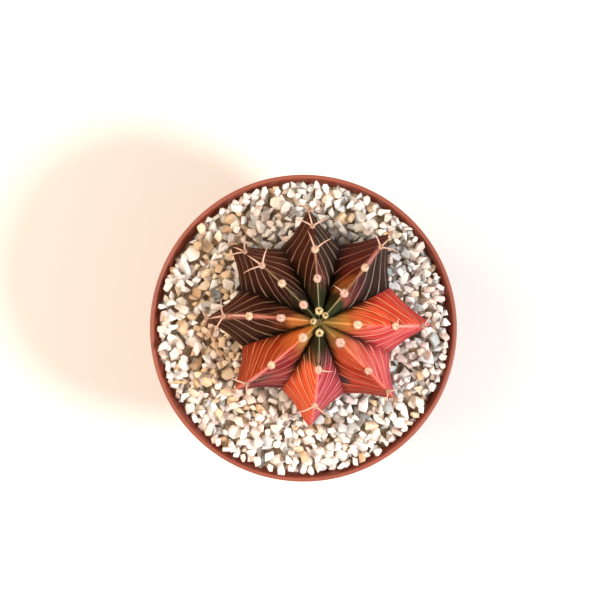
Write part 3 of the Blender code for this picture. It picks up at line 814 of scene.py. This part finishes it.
areole = {
    "padSize": (0.95 * mm, 1.04 * mm, 0.88 * mm),  # across the rib, along it, and its height
    "seat": 0.35 * mm,
    "hairs": 90,
    "hairLength": 0.5 * mm,
    "hairRadius": 0.022 * mm,
    "spineRadius": 0.22 * mm,
    "spineSides": 8,
    "spineSteps": 10,
    "rise": math.radians(24),
    "bend": 0.40 * mm,
    "lowest": 71.7 * mm,
    "grown": 20.5,  # arcs, in millimetres, from which areoles are grown, and old
    "old": 33.0,
    "grownSpines": ((6, 4.6), (80, 5.2), (-80, 5.0)),
    "oldSpines": ((84, 3.0), (-84, 2.6)),
    "youngest": ((0, 2.9, 0.95), (2, 1.6, 0.72), (4, 2.8, 0.95), (7, 2.3, 0.72)),  # rib, arc, size
    "fullSpine": 4.5 * mm,  # shorter spines are thinner and straighter
}


def areoleFrame(rib, arc):
    phi = np.interp(arc * mm, arcTable, phiTable)
    azimuth = float(crestAzimuth(rib, phi))
    place = Vector(stemPoint(np.array([phi]), azimuth, rib["reach"], 0.0, rib["tip"])[0])
    across, up = (float(part) for part in crestNormal(phi))
    out = Vector((math.cos(azimuth), math.sin(azimuth), 0.0))
    normal = out * across + Vector((0, 0, up))
    down = out * up - Vector((0, 0, across))
    return place, normal, down


def blendTone(first, second, share):
    return [a + (b - a) * share for a, b in zip(first, second)]


def tube(points, radii, sides, builder, tones):
    # a tapered round tube through the points, closed at both ends, with a tone for its start and its end
    layer = builder.verts.layers.float_color["tone"]
    rings = []
    reference = Vector((0.3, 0.5, 0.8)).normalized()
    for i, point in enumerate(points):
        before, after = points[max(i - 1, 0)], points[min(i + 1, len(points) - 1)]
        direction = (after - before).normalized()
        first = direction.cross(reference).normalized()
        second = direction.cross(first)
        ring = []
        for k in range(sides):
            angle = math.tau * k / sides
            way = first * math.cos(angle) + second * math.sin(angle)
            made = builder.verts.new(point + way * radii[i])
            made[layer] = blendTone(*tones, (i / (len(points) - 1)) ** 2)
            ring.append(made)
        rings.append(ring)
    for a, b in zip(rings, rings[1:]):
        for k in range(sides):
            builder.faces.new((a[k], a[(k + 1) % sides], b[(k + 1) % sides], b[k]))
    builder.faces.new(rings[0][::-1])
    builder.faces.new(rings[-1])


def woolPad(builder, seat, normal, down, size, seed, tones, dimple):
    # a lumpy cushion with short hairs, a furrow down its middle, and on young ones a dark dimple; the
    # darkening of the furrow, the dimple and the hollows between the lumps is painted shade
    layer = builder.verts.layers.float_color["tone"]
    side = normal.cross(down)
    turn = Matrix((side, down, normal)).transposed().to_4x4()
    made = bmesh.ops.create_icosphere(builder, subdivisions=4, radius=1.0)["verts"]
    for vertex in made:
        where = vertex.co.copy()
        coarse = noise.noise(where * 2.4 + Vector((seed, 0, 0)))
        fine = noise.noise(where * 6.0 + Vector((0, seed, 0)))
        lumps = coarse * 0.16 + fine * 0.10
        furrow = 0.16 * math.exp(-(where.x / 0.20) ** 2) * max(where.z, 0)
        hole = dimple * math.exp(-(where.x ** 2 + where.y ** 2) / 0.12) * (1 if where.z > 0 else 0)
        # painted shade: the furrow, the dimple and the hollows between the lumps go towards the dark tone
        dark = hole * 1.4 + furrow * 3.0 - lumps * 1.6
        vertex[layer] = blendTone(*tones, min(max(dark, 0.0), 1.0))
        where *= 1 + lumps - furrow - hole * 0.5
        vertex.co = seat + (turn @ Vector((where.x * size[0], where.y * size[1], where.z * size[2])))
    chance = random.Random(seed)
    thick = areole["hairRadius"]
    for _ in range(areole["hairs"]):
        aim = Vector((chance.gauss(0, 1), chance.gauss(0, 1), abs(chance.gauss(0, 0.9)) + 0.05))
        aim.normalize()
        root = seat + turn @ Vector((aim.x * size[0] * 0.93, aim.y * size[1] * 0.93, aim.z * size[2] * 0.93))
        way = (turn @ aim + Vector([chance.uniform(-0.5, 0.5) for _ in range(3)])).normalized()
        curl = Vector((chance.uniform(-1, 1), chance.uniform(-1, 1), chance.uniform(-0.6, 0.3)))
        curl = (turn @ curl) * 0.14 * mm
        length = areole["hairLength"] * chance.uniform(0.5, 1.1)
        points = [root + way * length * k / 3 + curl * (k / 3) ** 2 for k in range(4)]
        tube(points, (thick, thick * 0.9, thick * 0.7, thick * 0.3), 3, builder, (tones[0], tones[0]))


def spineWays(rib, arc, index):
    # each spine's turn from the way down the rib, and its length
    if index in rib["spines"]:
        return rib["spines"][index]
    if arc < areole["grown"]:
        return ()
    return areole["oldSpines"] if arc > areole["old"] else areole["grownSpines"]


def spine(builder, seat, normal, down, turn, length, tones):
    side = normal.cross(down)
    flat = down * math.cos(math.radians(turn)) + side * math.sin(math.radians(turn))
    aim = flat * math.cos(areole["rise"]) + normal * math.sin(areole["rise"])
    aim.z = max(aim.z, (areole["lowest"] - seat.z) / length)
    aim.normalize()
    steps = areole["spineSteps"]
    points, radii = [], []
    full = min(length / areole["fullSpine"], 1.0)
    thick = areole["spineRadius"] * (0.6 + 0.4 * full)
    for k in range(steps + 1):
        share = k / steps
        arch = math.sin(math.pi * share) * areole["bend"] * full
        points.append(seat + aim * (0.3 * mm + length * share) + normal * arch)
        radii.append(thick * (1.05 - 0.25 * share - 0.66 * share ** 4))
    tube(points, radii, areole["spineSides"], builder, tones)


def finishBuilder(name, builder, material, slot, nodes=()):
    data = bpy.data.meshes.new(name)
    bmesh.ops.recalc_face_normals(builder, faces=builder.faces)
    builder.to_mesh(data)
    builder.free()
    data.materials.append(material)
    data.shade_smooth()
    keep(addObject(name, data), slot, *nodes)


def makeAreoles(woolMaterial, spineMaterial):
    wool, spines = bmesh.new(), bmesh.new()
    wool.verts.layers.float_color.new("tone")
    spines.verts.layers.float_color.new("tone")
    cream, rose, tan, hollowShade = shade("ead0a8"), shade("ddb0a2"), shade("b88e74"), shade("5a3422")
    horn, tip = shade("d2ae98"), shade("a8846e")
    chance = random.Random(5)
    nodes = []
    for number, rib in enumerate(ribs, start=1):
        for index, arc in enumerate(areoleArcs(rib)):
            place, normal, down = areoleFrame(rib, arc)
            seat = place + normal * areole["seat"]
            worn = 1.12 - 0.12 * float(smoothStep(8.0, 11.0, arc)) - 0.34 * float(smoothStep(18.0, 27.0, arc))
            size = [side * worn * chance.uniform(0.93, 1.07) for side in areole["padSize"]]
            fresh = blendTone(cream, rose, chance.uniform(0.15, 0.9))
            tone = blendTone(fresh, tan, float(smoothStep(20.0, 34.0, arc)))
            # the second tone is the painted shade of the pad's furrow, dimple and hollows
            tones = (tone, blendTone(tone, hollowShade, 0.7))
            woolPad(wool, seat, normal, down, size, 10 * number + index, tones, 0.35)
            for turn, length in spineWays(rib, arc, index):
                spine(spines, seat + normal * 0.1 * mm, normal, down, turn, length * mm, (horn, tip))
            nodes.append(f"areole_rib{number}_{index + 1}")
    # the youngest areoles crowd round the growing point, each with a dark heart in its dimple, which is
    # painted shade
    young, heart = shade("ecd59a"), shade("241a10")
    for rib, arc, size in areole["youngest"]:
        place, normal, down = areoleFrame(ribs[rib], arc)
        size = (size * mm, size * mm, 0.75 * mm)
        woolPad(wool, place + normal * 0.3 * mm, normal, down, size, 300 + rib, (young, heart), 0.8)
        for turn in (-35, 0, 40):
            spine(spines, place + normal * 0.5 * mm, down, normal, turn, 0.75 * mm, (heart, tip))
    # the crown's tuft, with painted shade in its deep dimple
    top = Vector(stemPoint(np.array([0.0]), 0.0, 1.0, 0.0)[0])
    low = (0.55 * mm, 0.7 * mm, 0.45 * mm)
    woolPad(wool, top, Vector((0, 0, 1)), Vector((0, -1, 0)), low, 400, (shade("7a6238"), heart), 0.9)
    finishBuilder("areoleWool", wool, woolMaterial, "areole_wool", [*nodes, "crown_wool"])
    finishBuilder("areoleSpines", spines, spineMaterial, "areole_wool")


def woolPaint():
    paint = Paint(
        "areoleWool", Roughness=0.92, Sheen_Weight=0.25, Sheen_Roughness=0.5, Specular_IOR_Level=0.2,
    )
    spot = paint.place()
    own = paint.colours("tone")
    tuft = paint.speckle(spot, 2200.0, 5.0, 0.7)
    tone = paint.dim((1 - tuft.between(0.35, 0.6)) * 0.5, own, own, (0.62, 0.50, 0.44))
    tone = paint.mix(tuft.between(0.52, 0.72) * 0.4, tone, shade("f4e2c6"))
    paint.feed("Base Color", tone)
    paint.bump(tuft, 0.7, 0.2 * mm)
    return paint.material


def spinePaint():
    paint = Paint("spineHorn", Specular_IOR_Level=0.4, Subsurface_Weight=0.1, Subsurface_Scale=0.5 * mm)
    spot = paint.place()
    own = paint.colours("tone")
    grain = paint.speckle(spot, 1100.0, 3.0)
    tone = paint.dim(grain.between(0.35, 0.7) * 0.5, own, own, (0.78, 0.66, 0.60))
    pale = paint.speckle(spot, 260.0, 2.0)
    tone = paint.mix(pale.between(0.5, 0.75) * 0.45, tone, shade("ecc9b0"))
    paint.feed("Base Color", tone)
    paint.feed("Roughness", 0.42 + grain * 0.2)
    paint.bump(grain, 0.3, 0.05 * mm)
    return paint.material


gravel = {
    "seed": 12,
    "cell": 0.35 * mm,
    "floor": 63.4 * mm,
    "wallGap": 0.15 * mm,
    "inner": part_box("gravel_bed")[1].x,
    "stones": 1080,
    "filling": 0.45,  # the share of the stones that goes where the bed is still low
    "sizes": (1.25, 1.4, 1.55, 1.75, 2.0),
    "wallStones": 420,
    "wallLimit": 70.3 * mm,
    "wallSizes": (1.0, 1.15, 1.3, 1.45),
    "wallSide": math.radians(20),
    "warmShadowSide": math.radians(182),  # painted warm shadow: the tan stones lie in a band round this side of the stem, where its shadow falls
    "warmShadowReach": 28.0 * mm,
    "warmShadowSpread": 8.0 * mm,
    "warmShadowFrom": (0.35, 0.85),  # the cosine of the angle from that side at which they begin, and are all there
    "kinds": 48,
    "tries": 14,
    "brightness": (0.88, 1.02),
    "lowerTint": (0.86, 0.81, 0.76),  # what the lower half of a stone keeps of red, green and blue: it is darker and warmer
    "lowerTintLevels": (-0.35, 0.5),
    "clear": 0.8 * mm,
    "starSteps": 720,
    "tipping": 0.32,
    "groundRings": 40,
    "groundTurns": 120,
}

gravelTones = {
    "gravelCream": ("f9f5ef", "f5efe6", "fcf9f5", "f0e8dc"),
    "gravelRose": ("f7ebe4", "f3e2da", "faf1ea", "edd8cc"),
    "gravelGrey": ("ebebe8", "e0e0dd", "f2f2f0", "cececa"),
    "gravelSlate": ("cad0d0", "bfc5c5", "d8dddc", "adb4b2"),
    "gravelTan": ("f0dcc0", "ebcfac", "f3e0c6", "dfbc96"),
}


def stoneKind(seed):
    # one crushed stone of about unit size, its edges a little worn
    chance = random.Random(seed)
    builder = bmesh.new()
    for _ in range(chance.randint(10, 14)):
        aim = Vector([chance.gauss(0, 1) for _ in range(3)])
        blocky = sum(abs(c) ** 3.6 for c in aim) ** (1 / 3.6)
        builder.verts.new(aim / blocky * chance.uniform(0.84, 0.98))
    bmesh.ops.convex_hull(builder, input=builder.verts)
    loose = [v for v in builder.verts if not v.link_faces]
    bmesh.ops.delete(builder, geom=loose, context="VERTS")
    bmesh.ops.dissolve_limit(builder, angle_limit=math.radians(14), verts=builder.verts, edges=builder.edges)
    bmesh.ops.bevel(
        builder, geom=builder.edges[:], offset=0.055, offset_type="OFFSET", segments=2, profile=0.6,
        affect="EDGES", clamp_overlap=True,
    )
    builder.verts.ensure_lookup_table()
    for vertex in builder.verts:
        vertex.co *= 1 + 0.03 * noise.noise(vertex.co * 3.1 + Vector((seed, 0, 0)))
    builder.verts.index_update()
    points = np.array([v.co[:] for v in builder.verts])
    faces = [[v.index for v in face.verts] for face in builder.faces]
    builder.free()
    return points, faces


def starRadius(height):
    # how far out the stem reaches at a height, in every direction round its axis
    steps = gravel["starSteps"]
    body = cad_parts["cactus_stem"].data
    tree = BVHTree.FromPolygons([v.co for v in body.vertices], [face.vertices for face in body.polygons])
    centre = Vector((stem["centre"][0], stem["centre"][1], height))
    reach = []
    for i in range(steps):
        angle = math.tau * i / steps
        way = Vector((math.cos(angle), math.sin(angle), 0.0))
        hit = tree.ray_cast(centre + way * 60 * mm, -way)[0]
        reach.append((hit - centre).length if hit else 0.0)
    return np.array(reach)


def stoneSides(size, chance):
    # its length, width and height
    return [size * chance.uniform(*span) for span in ((1.0, 1.35), (0.8, 1.0), (0.6, 0.8))]


def dropStone(stones, heights, ticks, tries, sides, limit=1.0):
    # lays a stone at the lowest of these places on the map of heights, unless its top passes the limit
    flat = (sides[0] + sides[1]) / 2
    n = int(flat / gravel["cell"])
    off = np.arange(-n, n + 1) * gravel["cell"] / flat
    dome = np.sqrt(np.clip(1 - off[:, None] ** 2 - off[None, :] ** 2, 0, None)) * sides[2]
    best = None
    for i, j in tries:
        window = (slice(i - n, i + n + 1), slice(j - n, j + n + 1))
        if heights[window].shape != dome.shape:
            continue
        rest = np.max(np.where(dome > 0, heights[window] + dome * 0.62, 0))
        if best is None or rest < best[0]:
            best = (rest, ticks[i], ticks[j], window)
    if best is None or best[0] + sides[2] * 0.9 > limit:
        return
    rest, x, y, window = best
    heights[window] = np.maximum(heights[window], np.where(dome > 0, rest + dome * 0.9, 0))
    stones.append((x, y, rest, sides))


def layGravel():
    # drops stones one by one, each into the lowest of a few places, on a map of heights
    chance = random.Random(gravel["seed"])
    cell, inner = gravel["cell"], gravel["inner"]
    half = int(inner / cell) + 3
    ticks = (np.arange(2 * half + 1) - half) * cell
    spots = np.stack(np.meshgrid(ticks, ticks, [0.0], indexing="ij"), axis=-1)[:, :, 0]
    heights = gravel["floor"] + cellNoise(spots, 90.0, 4.0) * 0.6 * mm
    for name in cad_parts:
        if name.startswith("pebble"):
            low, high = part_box(name)
            middle, reach = (low + high) / 2, (high - low) / 2
            x, y = (ticks[:, None] - middle.x) / reach.x, (ticks[None, :] - middle.y) / reach.y
            inside = x ** 2 + y ** 2 < 1
            heights[inside] = np.maximum(heights[inside], high.z)
    star = starRadius(stem["soilLevel"] + 2.2 * mm)
    fromStem = spots[:, :, :2] - np.array(stem["centre"])
    turns = np.arctan2(fromStem[..., 1], fromStem[..., 0]) % math.tau
    starHere = star[(turns / math.tau * len(star)).astype(int) % len(star)]
    free = np.hypot(*fromStem.transpose(2, 0, 1)) > starHere + gravel["clear"]
    free &= np.hypot(spots[..., 0], spots[..., 1]) < inner - gravel["clear"]
    stones = []
    low = None
    while len(stones) < gravel["stones"]:
        filling = len(stones) > gravel["stones"] * (1 - gravel["filling"])
        if filling and len(stones) % 12 == 0 or filling and low is None:
            low = np.argwhere(free & (heights < np.percentile(heights[free], 6)))
        size = chance.choice(gravel["sizes"]) * mm * chance.uniform(0.9, 1.1) * (0.86 if filling else 1.0)
        sides = stoneSides(size, chance)
        tries = []
        for _ in range(4 if filling else gravel["tries"]):
            if filling:
                i, j = low[chance.randrange(len(low))]
            else:
                i, j = chance.randrange(len(ticks)), chance.randrange(len(ticks))
            reach = inner - gravel["wallGap"] - (sides[0] + sides[1]) * 0.33
            if free[i, j] and math.hypot(ticks[i], ticks[j]) < reach:
                tries.append((i, j))
        dropStone(stones, heights, ticks, tries, sides)
    for _ in range(gravel["wallStones"]):
        # small ones close the gap beside the wall, fewer of them on the left
        sides = stoneSides(chance.choice(gravel["wallSizes"]) * mm, chance)
        reach = inner - gravel["wallGap"] - (sides[0] + sides[1]) * 0.28
        tries = []
        for _ in range(4):
            angle = chance.uniform(0, math.tau)
            if chance.random() < 0.60 + 0.40 * math.cos(angle - gravel["wallSide"]):
                place = reach * chance.uniform(0.965, 1.0)
                tries.append([round(place * way / cell) + half for way in (math.cos(angle), math.sin(angle))])
        dropStone(stones, heights, ticks, tries, sides, gravel["wallLimit"])
    shown = heights[free]
    print("gravel top", round(shown.mean() / mm, 2), np.percentile(shown, (2, 50, 98)).round(4))
    return stones


def stoneTurn(chance):
    # mostly lying flat, tipped a little
    angle = chance.gauss(0, gravel["tipping"])
    axis = Vector((chance.gauss(0, 1), chance.gauss(0, 1), 0.001)).normalized()
    return Matrix.Rotation(angle, 3, axis) @ Matrix.Rotation(chance.uniform(0, math.tau), 3, "Z")


def toneOdds(x, y):
    # the odds of the five tones at a place: the right side holds more of the blue-grey stones as painted cool
    # light, and a band beside the stem more of the tan ones as painted warm shadow
    # painted cool light: the blue-grey stones grow more common towards the right
    paintedCoolLight = 0.5 + 0.5 * x / gravel["inner"]
    fromStem = np.array((x, y)) - np.array(stem["centre"])
    side = math.cos(math.atan2(fromStem[1], fromStem[0]) - gravel["warmShadowSide"])
    band = (np.hypot(*fromStem) - gravel["warmShadowReach"]) / gravel["warmShadowSpread"]
    # painted warm shadow: tan stones gather in the stem's shadow on its left
    paintedWarmShadow = float(smoothStep(*gravel["warmShadowFrom"], side)) * math.exp(-band ** 2)
    return (
        0.44 - 0.34 * paintedWarmShadow, 0.20 - 0.06 * paintedWarmShadow, 0.10 + 0.10 * paintedCoolLight - 0.08 * paintedWarmShadow, 0.01 + 0.06 * paintedCoolLight,
        0.05 + 0.60 * paintedWarmShadow,
    )


def makeGravel(materials):
    stones = layGravel()
    chance = random.Random(gravel["seed"] + 1)
    kinds = [stoneKind(500 + i) for i in range(gravel["kinds"])]
    groups = {name: [] for name in gravelTones}
    for stone in stones:
        groups[chance.choices(list(gravelTones), toneOdds(*stone[:2]))[0]].append(stone)
    for name, members in groups.items():
        points, faces, tones, cells = [], [], [], []
        across = math.ceil(math.sqrt(len(members)))
        for number, (x, y, z, sides) in enumerate(members):
            shape, shapeFaces = kinds[chance.randrange(len(kinds))]
            turn = np.array(stoneTurn(chance))
            local = shape * np.array(sides)
            placed = local @ turn.T + np.array((x, y, z))
            start = len(points)
            points += [tuple(p) for p in placed]
            tone = toneOf(chance.choice(gravelTones[name])) * chance.uniform(*gravel["brightness"])
            unit = (local / np.array(sides)) @ turn.T
            unit /= np.linalg.norm(unit, axis=1, keepdims=True)
            corner = np.array((number % across, number // across)) / across
            # the lower half of each stone is darker and warmer
            clean = smoothStep(*gravel["lowerTintLevels"], unit[:, 2])[:, None]
            lowerTinted = tone * (clean + (1 - clean) * np.array(gravel["lowerTint"]))
            for face in shapeFaces:
                faces.append([start + v for v in face])
                upper = unit[face, 2].mean() >= 0
                for v in face:
                    tones.append(lowerTinted[v])
                    cells.append(stoneCell(unit[v], upper, corner, 1 / across))
        piece = meshPiece(name, points, faces, materials[name])
        piece.data.set_sharp_from_angle(angle=math.radians(38))
        cornerColours(piece, "tone", np.array(tones))
        cornerMap(piece, "OFBake", np.array(cells))
        keep(piece, "gravel")
    print("stones", {name: len(members) for name, members in groups.items()})


def stoneCell(unit, upper, corner, size):
    # the upper and lower half of each stone lie side by side in its own cell of the map
    rise = unit[2] if upper else -unit[2]
    spread = math.sqrt(max(1 - rise, 0.0)) / math.sqrt(1.5)
    flat = math.hypot(unit[0], unit[1]) or 1.0
    x = 0.25 + 0.24 * spread * unit[0] / flat + (0.0 if upper else 0.5)
    y = 0.5 + 0.48 * spread * unit[1] / flat
    return corner + np.array((x, y)) * size


def makeGround(material):
    # a layer of crumbs under the stones
    rings, turns = gravel["groundRings"], gravel["groundTurns"]
    points = [(0, 0, gravel["floor"])]
    outer = gravel["inner"] - 0.1 * mm
    for i in range(1, rings + 1):
        for j in range(turns):
            angle = math.tau * j / turns
            radius = outer * i / rings
            x, y = radius * math.cos(angle), radius * math.sin(angle)
            points.append((x, y, gravel["floor"] + 0.5 * mm * noise.noise(Vector((x, y, 0)) * 500)))
    faces = [(0, 1 + j, 1 + (j + 1) % turns) for j in range(turns)]
    for i in range(rings - 1):
        faces += ringFaces(1 + i * turns, 1 + (i + 1) * turns, turns)
    keep(meshPiece("gravelGround", points, faces, material), "gravel", "gravel_bed")


def groundPaint():
    # crumbs and dust of the same stone
    paint = Paint("gravelDust", Roughness=0.95, Specular_IOR_Level=0.2)
    spot = paint.place()
    crumbs = paint.crumbs(spot, 1100.0)
    fine = paint.speckle(spot, 900.0, 5.0, 0.7)
    paint.feed("Base Color", paint.mix(fine.between(0.35, 0.65), shade("8c7864"), shade("b09a80")))
    paint.bump(crumbs * -1.0 + fine * 0.5, 0.8, 0.5 * mm)
    return paint.material


def stonePaint(name, useTone=True):
    paint = Paint(name, Specular_IOR_Level=0.3)
    spot = paint.place()
    cloud = paint.speckle(spot, 480.0, 4.0)
    grit = paint.speckle(spot, 2600.0, 3.0, 0.7)
    vein = paint.speckle(paint.stretched(spot, (1.0, 0.35, 1.4)), 900.0, 3.0)
    if useTone:
        base = paint.colours("tone")
    else:
        base = paint.mix(cloud.between(0.35, 0.65), shade("f3eade"), shade("e8dccb"))
    base = paint.dim(cloud.between(0.45, 0.75) * 0.5, base, base, (0.86, 0.83, 0.79))
    base = paint.dim(vein.between(0.56, 0.72) * 0.4, base, base, (0.88, 0.79, 0.68))
    base = paint.dim(grit.between(0.60, 0.78) * 0.3, base, base, (0.66, 0.63, 0.60))
    paint.feed("Base Color", base)
    paint.feed("Roughness", 0.68 + grit * 0.25)
    paint.bump(grit * 0.6 + cloud * 0.7, 0.5, 0.14 * mm)
    return paint.material


studio = {
    "floorSize": 3.0,
    "floorTone": "e9e6e1",
    "cameraPlace": (-0.95 * mm, 7.8 * mm, 500.0 * mm),
    "lens": 93.3,
    "keyAzimuth": -18.0,
    "keyHeight": 50.0,
    "keyDistance": 0.75,
    "keySize": 0.16,
    "keyPower": 5.25,
    "keyTone": (0.975, 0.98, 1.0),
    "fillAzimuth": 172.0,
    "fillHeight": 55.0,
    "fillDistance": 0.9,
    "fillSize": 0.6,
    "fillPower": 7.6,
    "fillTone": (1.0, 0.79, 0.60),
    "aimHeight": 70 * mm,
    "skyStrength": 0.52,
    "skyTone": (1.0, 0.985, 0.97, 1.0),
}


def areaLight(kind):
    # a round light that looks at the middle of the object, with the settings named after its kind
    data = bpy.data.lights.new(kind + "Light", "AREA")
    data.shape = "DISK"
    data.size = studio[kind + "Size"]
    data.energy = studio[kind + "Power"]
    data.color = studio[kind + "Tone"]
    lamp = addObject(kind + "Light", data)
    a, h = math.radians(studio[kind + "Azimuth"]), math.radians(studio[kind + "Height"])
    way = Vector((math.cos(a) * math.cos(h), math.sin(a) * math.cos(h), math.sin(h)))
    lamp.location = Vector((0, 0, studio["aimHeight"])) + way * studio[kind + "Distance"]
    lamp.rotation_euler = way.to_track_quat("Z", "Y").to_euler()


def makeStudio():
    paint = Paint("paleFloor", Roughness=0.75, Specular_IOR_Level=0.25)
    cloud = paint.speckle(paint.place(), 3.0, 3.0)
    paint.feed("Base Color", paint.mix(cloud, shade(studio["floorTone"]), shade("efece8")))
    half = studio["floorSize"] / 2
    corners = [(-half, -half, 0), (half, -half, 0), (half, half, 0), (-half, half, 0)]
    meshPiece("paleFloor", corners, [(0, 1, 2, 3)], paint.material, smooth=False)
    areaLight("key")
    areaLight("fill")
    world = bpy.data.worlds.new("softSky")
    world.use_nodes = True
    sky = world.node_tree.nodes["Background"]
    sky.inputs["Color"].default_value = studio["skyTone"]
    sky.inputs["Strength"].default_value = studio["skyStrength"]
    bpy.context.scene.world = world
    bpy.context.scene.view_settings.view_transform = "Standard"
    data = bpy.data.cameras.new("viewCamera")
    data.lens = studio["lens"]
    data.sensor_width = 36.0
    data.clip_start = 0.01
    camera = addObject("viewCamera", data)
    camera.location = studio["cameraPlace"]
    bpy.context.scene.camera = camera


makeStudio()
print("studio ready")
makePot(potPaint())
print("pot ready")
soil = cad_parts["potting_soil"]
for place in soil.material_slots:
    place.material = soilPaint()
makeStem(stemPaint())
print("stem ready")
makeAreoles(woolPaint(), spinePaint())
print("areoles ready")
makeGravel({name: stonePaint(name + "Stone") for name in gravelTones})
makeGround(groundPaint())
pebblePaint = stonePaint("pebbleStone", useTone=False)
for name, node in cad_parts.items():
    if name.startswith("pebble"):
        for place in node.material_slots:
            place.material = pebblePaint
        soften = node.modifiers.new("wornEdges", "BEVEL")
        soften.width = 0.12 * mm
        soften.segments = 2
        soften.limit_method = "ANGLE"
        soften.angle_limit = math.radians(20)
print("gravel ready")
